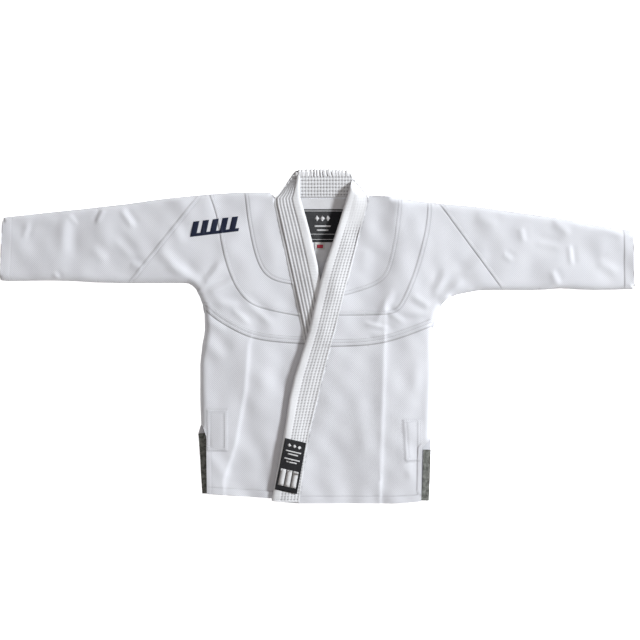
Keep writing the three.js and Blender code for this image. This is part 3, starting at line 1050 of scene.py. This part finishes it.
def make_back():
    loops = {part: [loop_of(node)] for part, node in BACK_PARTS.items()}
    plan, tri, owner = plan_of(loops, [], 9 * MM)
    group = owner.astype("<U20")
    centre = plan[tri].mean(1)
    group[(owner == "back") & (centre[:, 0] > HINGE_X["left"])] = "left_sleeve"
    for side in PANELS:
        far = centre[:, 0] * OUT[side] > SPLIT_X
        group[(owner == f"{side}_sleeve") & far] = f"{side}_forearm"
    rounded = np.minimum(FRONT["right"].fold_distance(plan), FRONT["left"].fold_distance(plan))
    edge = rounded < 1 * MM
    soft = ramp(rounded / (12 * MM))
    top = CLOTH + 0.35 * MM * (1 + np.sin(plan[:, 0] * 41) * np.cos(plan[:, 1] * 37)) * soft
    top = np.where(edge, 1.9 * MM, top)
    bottom = np.where(edge, 0.5 * MM, 0.0)
    plan = inset(plan, edge)
    for part, node in BACK_PARTS.items():
        name = "back_cloth" if part == "back" else f"{part}_back_cloth"
        mine = tri[group == part]
        obj = slab(name, plan, mine, top, bottom, "pearl_weave")
        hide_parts(node)
        if part == "back":
            ride_torso(obj)
        else:
            side, zone = part.split("_")
            move(obj, zone, side)


make_back()


# ---- Lapels ----
ROWS = (0.08, 0.195, 0.31, 0.43, 0.545, 0.66)  # stitch rows, as shares of the width from the outer edge
STITCH_PITCH = 6.7 * MM
LAP = 2.6 * MM  # how far the lapel's outer edge lies over the panel
SINK = {"right": 9 * MM, "left": 30 * MM}  # how far in the lapel is still pressed down to the panel
ROWS_FROM = {"right": 400 * MM, "left": 262 * MM}  # above this the rows are pressed flat


class Lapel:
    """The padded strip of one front, between its outer edge on the panel and its free edge."""

    def __init__(self, side, nodes):
        self.side = side
        self.face = top_of(f"{side}_lapel_face")
        self.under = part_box(f"{side}_lapel_lining")[0].z
        rings = [closed(loop_of(n)) for n in nodes]
        every = np.vstack(rings)
        self.y_low, self.y_high = every[:, 1].min() + 0.6 * MM, every[:, 1].max() - 0.4 * MM
        self.levels = np.linspace(self.y_low, self.y_high, 400)
        low, high = [], []
        for y in self.levels:
            found = [
                x1 + (x2 - x1) * (y - y1) / (y2 - y1)
                for ring in rings
                for (x1, y1), (x2, y2) in zip(ring[:-1], ring[1:])
                if (y1 > y) != (y2 > y)
            ]
            low.append(min(found))
            high.append(max(found))
        self.outer, self.free = (low, high) if side == "right" else (high, low)
        lap = LAP * ramp((322 * MM - self.levels) / (25 * MM))
        self.outer = np.array(self.outer) - np.sign(np.array(self.free) - self.outer) * lap

    def edges(self, y):
        return np.interp(y, self.levels, self.outer), np.interp(y, self.levels, self.free)

    def at(self, share, y):
        outer, free = self.edges(y)
        return np.column_stack([outer + (free - outer) * share, y])

    def surfaces(self, plan):
        """The heights of the face and of the underside."""
        x, y = plan.T
        outer, free = self.edges(y)
        width = np.maximum(np.abs(free - outer), 1 * MM)
        share = (x - outer) / np.where(np.abs(free - outer) < MM, MM, free - outer)
        from_outer, from_free = share * width, (1 - share) * width
        end = np.minimum(y - self.y_low, self.y_high - y)
        edge = np.minimum(np.minimum(from_outer * 4, from_free), end * 1.6)
        rounded = np.sqrt(np.clip(1 - (1 - np.clip(edge / (8 * MM), 0, 1)) ** 2, 0, 1))
        lay = settled(y)
        low = self.under * lay + ripple(plan) + creases(self.side, plan)
        high = low + (self.face - self.under) * lay * (0.45 + 0.55 * rounded)
        flush = FRONT[self.side].height(plan) + 0.7 * MM
        high = flush + (high - flush) * ramp(from_outer / SINK[self.side])
        high += self.relief(share, y, width) * rounded
        high -= 0.8 * MM * bump(y - self.y_low - 9 * MM, 1.5 * MM)
        neck = ramp((y - 300 * MM) / (60 * MM)) * ramp(1 - from_outer / (30 * MM))
        high -= neck * (high - 5 * MM) * 0.75
        low -= neck * (low - 3.2 * MM) * 0.9
        low = np.minimum(low, high - 1.0 * MM)
        return high, np.where(from_outer < LAP + 1.2 * MM, high - 0.6 * MM, low)

    def pull(self, share, y, width):
        """How strongly the quilting pulls each point down: pits in rows, joined by faint channels."""
        clear = ramp((ROWS_FROM[self.side] - y) / (30 * MM)) * 0.85 + 0.15
        pit = (0.5 + 0.5 * np.cos(2 * math.pi * y / STITCH_PITCH)) ** 1.8
        pit = 0.72 + 0.28 * pit if self.side == "right" else 0.2 + 0.8 * pit
        return clear * pit * sum(bump((share - row) * width, 1.7 * MM) for row in ROWS)

    def relief(self, share, y, width):
        """The quilted rows, and the puffed rim along the free edge with its small cross ripples."""
        rim = np.sin(np.clip((share - ROWS[-1]) / (1 - ROWS[-1]), 0, 1) * math.pi)
        ripples = np.sin(2 * math.pi * y / STITCH_PITCH) * (0.5 + 0.5 * np.sin(y / MM * 0.047 + 1))
        return 0.7 * MM * rim**0.8 + 0.22 * MM * rim * ripples - 1.5 * MM * self.pull(share, y, width)

    # The lapel's painted shade: darker in the quilting's pits and rows, as strongly as the quilting pulls the
    # cloth down.
    def painted_shade(self, plan):
        x, y = plan.T
        outer, free = self.edges(y)
        width = np.abs(free - outer)
        share = (x - outer) / np.where(width < MM, MM, free - outer)
        return np.clip(0.82 * self.pull(share, y, width), 0, 1)


LAPEL = {
    "right": Lapel("right", ["right_lapel_face"]),
    "left": Lapel("left", ["left_lapel_face", "left_lapel_root"]),
}


def grid_shell(name, plan, high, low, shape, material, painted_shade):
    """A closed shell over a grid of points, shape = (rows, columns)."""
    n = len(plan)
    points = np.vstack([np.column_stack([plan, high]), np.column_stack([plan, low])])
    cell = np.arange(n).reshape(shape)
    a, b, c, d = cell[:-1, :-1].ravel(), cell[:-1, 1:].ravel(), cell[1:, 1:].ravel(), cell[1:, :-1].ravel()
    faces = np.column_stack([a, b, c, d])
    first = plan[faces[0]]
    if np.cross(first[1] - first[0], first[2] - first[0]) < 0:
        faces = faces[:, ::-1]
    directed = {(f[i], f[(i + 1) % 4]) for f in faces.tolist() for i in range(4)}
    rim = [(p, p + n, q + n, q) for p, q in directed if (q, p) not in directed]
    faces = [*faces.tolist(), *(faces[:, ::-1] + n).tolist(), *rim]
    return add_mesh(name, points, faces, material, painted_shade=np.concatenate([painted_shade, np.zeros(n)]))


def make_lapel(side, nodes):
    lapel = LAPEL[side]
    count_v, count_u = 520, 52
    even = np.linspace(0, 1, count_u)
    share = (1 - np.cos(even * math.pi)) / 2 * 0.35 + even * 0.65
    levels = np.linspace(lapel.y_high, lapel.y_low, count_v)
    uu, vv = np.meshgrid(share, levels)
    plan = lapel.at(uu.ravel(), vv.ravel())
    high, low = lapel.surfaces(plan)
    painted_shade = lapel.painted_shade(plan)
    obj = grid_shell(f"{side}_lapel_cloth", plan, high, low, (count_v, count_u), "lapel_drill", painted_shade)
    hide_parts(*nodes)
    if side == "left":
        bend_flap(obj)
    else:
        ride_torso(obj)


make_lapel("right", ["right_lapel_face", "right_lapel_core", "right_lapel_lining"])
make_lapel("left", ["left_lapel_face", "left_lapel_core", "left_lapel_lining", "left_lapel_root"])


# ---- The collar behind the neck ----
BAND_ROWS = np.arange(6) * 8 * MM + 6.6 * MM  # quilting rows, up from the seam
BAND_COLUMN = 7.0 * MM
GATHER_FROM = 48 * MM  # above this the cloth is gathered and rolls over the top


def band_pull(x, up):
    """How strongly the quilting pulls each point of the collar down."""
    pit = (0.5 + 0.5 * np.cos(2 * math.pi * x / BAND_COLUMN)) ** 1.2
    return (0.25 + 0.75 * pit) * sum(bump(up - row, 1.6 * MM) for row in BAND_ROWS)


def gathers(x, up):
    """Puckers that run up and over the top edge, some tight and darkened by painted shade, some loose."""
    lean = x / MM + 0.25 * (up / MM - 50) * np.sin(x / MM * 0.05)
    return np.sin(lean * 0.74 + 1.4 * np.sin(lean * 0.13)) + 0.6 * np.sin(lean * 1.21 + 2)


def band_heights(x, up, tall):
    """The inside face of the standing collar, up = how far above the neck seam."""
    v = np.clip(up / tall, 0, 1)
    ends = 1 - 0.5 * ramp((-38 * MM - x) / (18 * MM)) - 0.25 * ramp((x - 76 * MM) / (18 * MM))
    high = 4.2 * MM + 9.5 * MM * np.sin(np.minimum(v / 0.86, 1) * math.pi / 2) * ends
    high -= 7.5 * MM * ramp((v - 0.86) / 0.14) ** 1.5 * ends
    high -= 1.4 * MM * band_pull(x, up)
    high -= 0.35 * MM * bump((x / BAND_COLUMN + 0.5) % 1 - 0.5, 0.16) * ramp((GATHER_FROM - up) / (4 * MM))
    gather = ramp((up - GATHER_FROM + 3 * MM) / (6 * MM))
    return high + 1.3 * MM * gather * gathers(x, up) * (0.6 + 0.4 * np.sin(x / MM * 0.071 + 1))


def band_painted_shade(x, up):
    # Painted shade of the collar: in the quilting rows, in the tight gathers growing towards the wearer's left,
    # and along the neck seam.
    gather = ramp((up - GATHER_FROM) / (4 * MM)) * ramp((74 * MM - up) / (12 * MM))
    painted_dark = 0.4 * np.clip(-gathers(x, up) - 0.4, 0, 1) * gather * ramp((x + 30 * MM) / (60 * MM))
    seam = 0.7 * bump(up - 1.2 * MM, 1.1 * MM)
    return np.clip(0.8 * band_pull(x, up) + painted_dark + seam, 0, 1)


def make_band():
    ring = closed(loop_of("collar_neck_face"))
    seam_y = ring[:, 1].min() - 0.4 * MM
    columns = np.linspace(ring[:, 0].min() + 0.5 * MM, ring[:, 0].max() - 0.5 * MM, 200)
    tops = []
    for x in columns:
        found = [
            y1 + (y2 - y1) * (x - x1) / (x2 - x1)
            for (x1, y1), (x2, y2) in zip(ring[:-1], ring[1:])
            if (x1 > x) != (x2 > x)
        ]
        tops.append(max(found))
    tall = np.maximum(np.array(tops) - seam_y, 1 * MM)
    shares = np.linspace(0, 1, 54)
    ss, xx = np.meshgrid(shares, columns, indexing="ij")
    up = ss * tall[None, :]
    gathered = 1.2 * MM * np.sin(xx / MM * 0.74 + 1.4 * np.sin(xx / MM * 0.13)) * ramp((ss - 0.8) / 0.2)
    plan = np.column_stack([xx.ravel(), (seam_y + up + gathered * (tall > 40 * MM)).ravel()])
    high = band_heights(xx.ravel(), up.ravel(), np.tile(tall, len(shares)))
    low = np.full(len(plan), 2.9 * MM)
    low = np.where(up.ravel() > 14 * MM, 0.6 * MM, low)
    painted_shade = band_painted_shade(xx.ravel(), up.ravel())
    high = np.maximum(high, low + 1.2 * MM)
    obj = grid_shell("collar_neck_cloth", plan, high, low, ss.shape, "lapel_drill", painted_shade)
    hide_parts("collar_neck_face", "collar_neck_core", "collar_neck_lining")
    ride_torso(obj)


make_band()


# ---- Facing, tapes and labels ----
def flat_piece(name, node, step, surface, thickness, material):
    """A thin piece cut along a CAD outline; surface gives the height of its top."""
    loops = [loop_of(n) for n in ([node] if isinstance(node, str) else node)]
    plan, tri, _ = plan_of({"all": loops}, [], step)
    top = surface(plan)
    obj = slab(name, plan, tri, top, top - thickness, material)
    return obj, plan, tri


def inside_back(plan):
    """The inner face of the back, seen down the neck."""
    x, y = plan.T / MM
    folds = 0.5 * np.sin(x * 0.085 + y * 0.02) + 0.3 * np.sin(x * 0.041 - y * 0.037 + 1)
    return 3.3 * MM + 0.35 * MM * (folds + 0.8)


def make_facing():
    name = "back_neck_facing_cloth"
    obj, plan, tri = flat_piece(name, "back_neck_facing", 4 * MM, inside_back, 0.9 * MM, "lining")
    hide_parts("back_neck_facing")
    ride_torso(obj)


def tape_surface(plan):
    x, y = plan.T / MM
    weave = 0.3 * MM * np.sin(x * 1.1 + y * 0.55) * np.sin(y * 0.31 + x * 0.2)
    return 3.6 * MM + weave + 0.2 * MM * np.sin(y * 0.09)


def make_vent_tape(side):
    obj, plan, tri = flat_piece(
        f"{side}_vent_tape_cloth", f"{side}_vent_tape", 2.5 * MM, tape_surface, 1.1 * MM, "contrast_tape"
    )
    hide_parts(f"{side}_vent_tape")
    ride_torso(obj)


def make_cuff_tape(side):
    """A soft ring of tape just inside the sleeve's mouth."""
    low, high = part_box(f"{side}_cuff_tape")
    centre = np.array([(low.y + high.y) / 2, 0.5 * HIGH[side][1]])
    half = np.array([(high.y - low.y) / 2 - 1 * MM, 4.6 * MM])
    turns, lengths = 96, 7
    angle = np.linspace(0, 2 * math.pi, turns, endpoint=False)
    cosine, sine = np.cos(angle), np.sin(angle)
    across = np.sign(cosine) * np.abs(cosine) ** 0.6
    upwards = np.sign(sine) * np.abs(sine) ** 0.9
    section = np.column_stack([across, upwards])
    out = OUT[side]
    cuff = FRONT[side].cuff[np.argsort(FRONT[side].cuff[:, 1])]
    points = []
    for inner in (0.0, 0.8 * MM):
        for i in range(lengths):
            wave = 1 + 0.02 * np.sin(angle * 7 + i * 0.4)
            for (c, s), w in zip(section, wave):
                y = centre[0] + c * (half[0] - inner) * w
                hidden = 3 - 5 * ramp((-0.75 - c) / 0.2)
                x = np.interp(y, cuff[:, 1], cuff[:, 0]) - out * (hidden + i * 3.0) * MM
                points.append((x, y, centre[1] + s * (half[1] - inner)))
    faces = []
    ring = turns * lengths
    for i in range(lengths - 1):
        for j in range(turns):
            k = (j + 1) % turns
            a, b, c, d = i * turns + j, i * turns + k, (i + 1) * turns + k, (i + 1) * turns + j
            faces.append((a, b, c, d))
            faces.append((d + ring, c + ring, b + ring, a + ring))
    for j in range(turns):
        k = (j + 1) % turns
        last = (lengths - 1) * turns
        faces.append((k, j, j + ring, k + ring))
        faces.append((last + j, last + k, last + k + ring, last + j + ring))
    if out > 0:
        faces = [f[::-1] for f in faces]
    points = np.array(points)
    obj = add_mesh(f"{side}_cuff_tape_cloth", points, faces, "contrast_tape", uv=points[:, :2])
    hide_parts(f"{side}_cuff_tape")
    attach(obj, f"{side}_forearm")


make_facing()
for each_side in PANELS:
    make_vent_tape(each_side)
    make_cuff_tape(each_side)


def place_in(corners, shapes):
    """Shapes drawn in a unit square, moved into a four-cornered outline (first corner low left)."""
    p00, p10, p11, p01 = corners
    out = []
    for shape in shapes:
        s, t = np.array(shape, float).T[:, :, None]
        out.append((1 - s) * (1 - t) * p00 + s * (1 - t) * p10 + s * t * p11 + (1 - s) * t * p01)
    return out


def bar(s0, t0, s1, t1):
    return [(s0, t0), (s1, t0), (s1, t1), (s0, t1)]


def diamond(s, t, half_s, half_t):
    return [(s - half_s, t), (s, t - half_t), (s + half_s, t), (s, t + half_t)]


def yarn_work(name, corners, shapes, surface, material, lift=0.45 * MM):
    """Raised woven shapes that follow the surface below them, as one mesh."""
    points, faces = [], []
    for outline in place_in(corners, shapes):
        ring = resampled(closed(outline), 3 * MM)
        plan, tri = triangulated(ring[:-1], ring_edges(ring))
        n, base = len(plan), len(points)
        top = surface(plan) + lift
        points.extend(np.column_stack([plan, top]))
        points.extend(np.column_stack([plan, top - 1.2 * lift]))
        directed = {pair for f in tri for pair in ((f[0], f[1]), (f[1], f[2]), (f[2], f[0]))}
        faces.extend((a + base, b + base, c + base) for a, b, c in tri)
        faces.extend((c + base + n, b + base + n, a + base + n) for a, b, c in tri)
        rim = [(a + base, b + base) for a, b in directed if (b, a) not in directed]
        faces.extend((a, a + n, b + n, b) for a, b in rim)
    obj = add_mesh(name, np.array(points), faces, material)
    return obj


def ring_edges(ring):
    n = len(ring) - 1
    return [(i, (i + 1) % n) for i in range(n)]


def corners_of(node):
    """The four corners of a CAD outline, low left first, anticlockwise."""
    ring = loop_of(node)
    start = int(np.argmin(ring[:, 0] + ring[:, 1]))
    ring = np.roll(ring, -start, axis=0)
    return ring if ring[1][0] > ring[0][0] else np.roll(ring, 1, axis=0)


def label_surface(plan):
    return inside_back(plan) + 0.95 * MM


def patch_surface(plan):
    """The woven patch lies flat over the lapel's channels."""
    return LAPEL["left"].face * settled(plan[:, 1]) + ripple(plan) + 1.5 * MM


LABEL_SHAPES = [
    *[diamond(0.38 + 0.12 * i, 0.72, 0.05, 0.09) for i in range(3)],
    bar(0.32, 0.46, 0.68, 0.51),
    bar(0.37, 0.34, 0.63, 0.385),
    bar(0.02, 0.935, 0.98, 0.955),
    bar(0.02, 0.235, 0.98, 0.25),
    bar(0.02, 0.075, 0.98, 0.09),
]
PATCH_SHAPES = [
    *[diamond(0.26 + 0.24 * i, 0.885, 0.09, 0.036) for i in range(3)],
    bar(0.14, 0.765, 0.86, 0.79),
    bar(0.26, 0.71, 0.74, 0.735),
    bar(0.14, 0.615, 0.86, 0.64),
    bar(0.26, 0.56, 0.74, 0.585),
    *[bar(0.1 + 0.28 * i, 0.1, 0.34 + 0.28 * i, 0.42) for i in range(3)],
]
TAG_SHAPES = [bar(0.2, 0.2, 0.8, 0.68)]


def make_labels():
    cloth = "woven_label"
    label, plan, tri = flat_piece("neck_label_cloth", "neck_label", 4 * MM, label_surface, 0.8 * MM, cloth)
    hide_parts("neck_label")
    ride_torso(label)
    corners = corners_of("neck_label")
    weave = yarn_work("neck_label_weave", corners, LABEL_SHAPES, label_surface, "label_yarn")
    ride_torso(weave)
    patch, plan, tri = flat_piece("lapel_patch_cloth", "lapel_patch", 3 * MM, patch_surface, 1.4 * MM, cloth)
    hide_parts("lapel_patch")
    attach(patch, "left_front")
    corners = corners_of("lapel_patch")
    weave = yarn_work("lapel_patch_weave", corners, PATCH_SHAPES, patch_surface, "label_yarn")
    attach(weave, "left_front")

    def tag_surface(plan):
        return inside_back(plan) + 0.9 * MM + 0.5 * MM * bump(plan[:, 1] - 205 * MM, 7 * MM)

    cloth = "size_tag"
    tag, plan, tri = flat_piece("size_tag_cloth", "size_tag", 1.5 * MM, tag_surface, 0.6 * MM, cloth)
    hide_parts("size_tag")
    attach(tag, "size_tag")
    weave = yarn_work("size_tag_weave", corners_of("size_tag"), TAG_SHAPES, tag_surface, "red_yarn")
    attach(weave, "size_tag")


make_labels()


def make_mark():
    """The dense embroidery across the right armhole seam."""
    nodes = ["shoulder_mark_body", "shoulder_mark_sleeve"]
    loops = [loop_of(n) for n in nodes]
    borders = [closed(l) for l in loops]

    def surface(plan):
        edge = np.max([np.where(inside(plan, l), distance(plan, closed(l)), 0) for l in loops], axis=0)
        return FRONT["right"].height(plan) + 0.45 * MM + 0.55 * MM * ramp(edge / (1.6 * MM))

    rims = [offset_line(b, v * MM) for b in borders for v in (0.9, 1.8)]
    plan, tri, _ = plan_of({"mark": loops}, rims, 2.2 * MM)
    top = surface(plan)
    obj = slab("shoulder_mark_embroidery", plan, tri, top, top - 0.9 * MM, "shoulder_mark")
    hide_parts(*nodes)
    bend_shoulder(obj)


make_mark()


# ---- Stitches ----
THREAD = 0.42 * MM  # radius
SEAM_PITCH = 4.4 * MM
SEAM_STITCH = 3.3 * MM


def stitch_mesh(name, places, ways, surface, length):
    """One small raised stitch at each place, laid along its way."""
    side = np.column_stack([-ways[:, 1], ways[:, 0]])
    rings = [(-0.5, 0.0), (-0.36, 1.0), (0.36, 1.0), (0.5, 0.0)]
    points, stride = [], 10
    for along, size in rings:
        for across, up in ((1, 0), (0, 1), (-1, 0), (0, -1)) if size else ((0, 0),):
            plan = places + ways * along * length + side * across * THREAD * size
            points.append(np.column_stack([plan, surface(plan) + 0.12 * MM + up * THREAD * size * 0.8]))
    order = np.stack(points, axis=1).reshape(-1, 3)
    faces = []
    for i in range(4):
        k = (i + 1) % 4
        faces.append((0, 1 + k, 1 + i))
        faces.append((1 + i, 1 + k, 5 + k, 5 + i))
        faces.append((9, 5 + i, 5 + k))
    every = [tuple(v + n * stride for v in f) for n in range(len(places)) for f in faces]
    obj = add_mesh(name, order, every, "thread")
    return obj


def seam_stitches(side):
    """The stitch rows of one front and sleeve, as (place, way) pairs."""
    front = FRONT[side]
    loops = [l for name in PANELS[side] for l in LOOPS[side][name]]
    patch = closed(LOOPS[side]["vent_patch"][0])
    stitched = front.stitched_seams() + [(patch, PATCH_ROWS)]
    lines = [offset_line(line, row * MM) for line, rows in stitched for row in rows]
    for line, row in front.hems():
        for sign in (1, -1):
            moved = offset_line(line, sign * (row - 1.5) * MM)
            middle = len(moved) // 2
            if in_any(moved[middle : middle + 1], loops)[0]:
                lines.append(moved)
    found = [evenly(line, SEAM_PITCH, SEAM_PITCH / 2) for line in lines]
    places = np.vstack([p for p, _ in found])
    ways = np.vstack([w for _, w in found])
    kept = in_any(places, loops) & (front.fold_distance(places) > 3 * MM)
    return places[kept], ways[kept]


def make_stitches(side):
    front, lapel = FRONT[side], LAPEL[side]
    places, ways = seam_stitches(side)
    zone = zones(places, side)
    for name in ("body", "sleeve", "forearm"):
        mine = zone == name
        obj = stitch_mesh(f"{side}_{name}_stitches", places[mine], ways[mine], front.height, SEAM_STITCH)
        move(obj, name, side)
    places, ways = [], []
    for share in ROWS:
        y = np.arange(lapel.y_high - 26 * MM, lapel.y_low + 10 * MM, -STITCH_PITCH)
        y = y[y < ROWS_FROM[side]]
        line = lapel.at(share, y)
        way = lapel.at(share, y + MM) - lapel.at(share, y - MM)
        places.append(line)
        ways.append(way / np.hypot(*way.T)[:, None])
    outer, free = lapel.edges(np.array([lapel.y_low + 9 * MM]))
    across = np.arange(min(outer[0], free[0]) + 3 * MM, max(outer[0], free[0]) - 3 * MM, SEAM_PITCH)
    places.append(np.column_stack([across, np.full(len(across), lapel.y_low + 9 * MM)]))
    ways.append(np.tile([1.0, 0.0], (len(across), 1)))
    places, ways = np.vstack(places), np.vstack(ways)
    bare = ~in_any(places, [loop_of("lapel_patch")])
    obj = stitch_mesh(
        f"{side}_lapel_stitches", places[bare], ways[bare], lambda p: lapel.surfaces(p)[0], 0.6 * STITCH_PITCH
    )
    move(obj, "body", side)


for each_side in PANELS:
    make_stitches(each_side)


def make_band_stitches():
    seam_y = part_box("collar_neck_face")[0].y - 0.4 * MM
    x = np.arange(-44 * MM, 80 * MM, BAND_COLUMN)
    places = np.array([(a, seam_y + row) for row in BAND_ROWS for a in x])
    ways = np.tile([1.0, 0.0], (len(places), 1))

    def surface(p):
        return band_heights(p[:, 0], p[:, 1] - seam_y, 60 * MM)

    obj = stitch_mesh("collar_neck_stitches", places, ways, surface, 0.55 * BAND_COLUMN)
    ride_torso(obj)


make_band_stitches()


# ---- Everything not dressed yet keeps its CAD shape and gets its slot's material ----
SLOT_OF = {s["node"]: s["material_slot"] for s in frame["record"]["subparts"]}
for node_name, node in frame["nodes"].items():
    slot_name = SLOT_OF[node_name]
    node.data.materials.clear()
    node.data.materials.append(MATERIAL.get(slot_name, MATERIAL["lapel_drill"]))


# ---- Floor, lights and camera ----
def make_floor():
    """A floor that is lit evenly whatever lies on it."""
    mat, _, bsdf = shader("white floor", (0.9, 0.9, 0.9), 0.9)
    bsdf.inputs["Emission Color"].default_value = (1, 1, 1, 1)
    bsdf.inputs["Emission Strength"].default_value = 0.85
    mesh = bpy.data.meshes.new("floor")
    size = 8.0
    z = -0.4 * MM
    corners = [(-size, -size, z), (size, -size, z), (size, size, z), (-size, size, z)]
    mesh.from_pydata(corners, [], [(0, 1, 2, 3)])
    mesh.materials.append(mat)
    floor = bpy.data.objects.new("floor", mesh)
    bpy.context.scene.collection.objects.link(floor)


def area_light(name, place, size, power, colour=(1, 1, 1)):
    light = bpy.data.lights.new(name, "AREA")
    light.shape = "SQUARE"
    light.size = size
    light.energy = power
    light.color = colour
    obj = bpy.data.objects.new(name, light)
    obj.location = place
    bpy.context.scene.collection.objects.link(obj)
    direction = -np.array(place)
    yaw = math.atan2(direction[1], direction[0])
    tip = math.atan2(math.hypot(direction[0], direction[1]), -direction[2])
    obj.rotation_euler = (tip, 0, yaw - math.pi / 2)


def make_light():
    """A cool key from the wearer's left, and a little warm light from everywhere else."""
    area_light("key", (7.2, 1.9, 4.3), 1.3, 990, (0.935, 0.97, 1.0))
    area_light("overhead", (0.1, 0.4, 3.0), 2.4, 13, (0.97, 0.98, 1.0))
    world = bpy.data.worlds.new("studio")
    world.use_nodes = True
    world.node_tree.nodes["Background"].inputs[0].default_value = (1.0, 0.91, 0.85, 1)
    world.node_tree.nodes["Background"].inputs[1].default_value = 0.25
    bpy.context.scene.world = world


VIEW_CENTRE = (6.9 * MM, 36.8 * MM)
CAMERA_HEIGHT = 3.476 + 8 * MM


def make_camera():
    camera = bpy.data.cameras.new("camera")
    camera.lens = 85
    camera.sensor_width = 36
    obj = bpy.data.objects.new("camera", camera)
    obj.location = (*VIEW_CENTRE, CAMERA_HEIGHT)
    bpy.context.scene.collection.objects.link(obj)
    bpy.context.scene.camera = obj


make_floor()
make_light()
make_camera()
bpy.context.scene.view_settings.view_transform = "Standard"
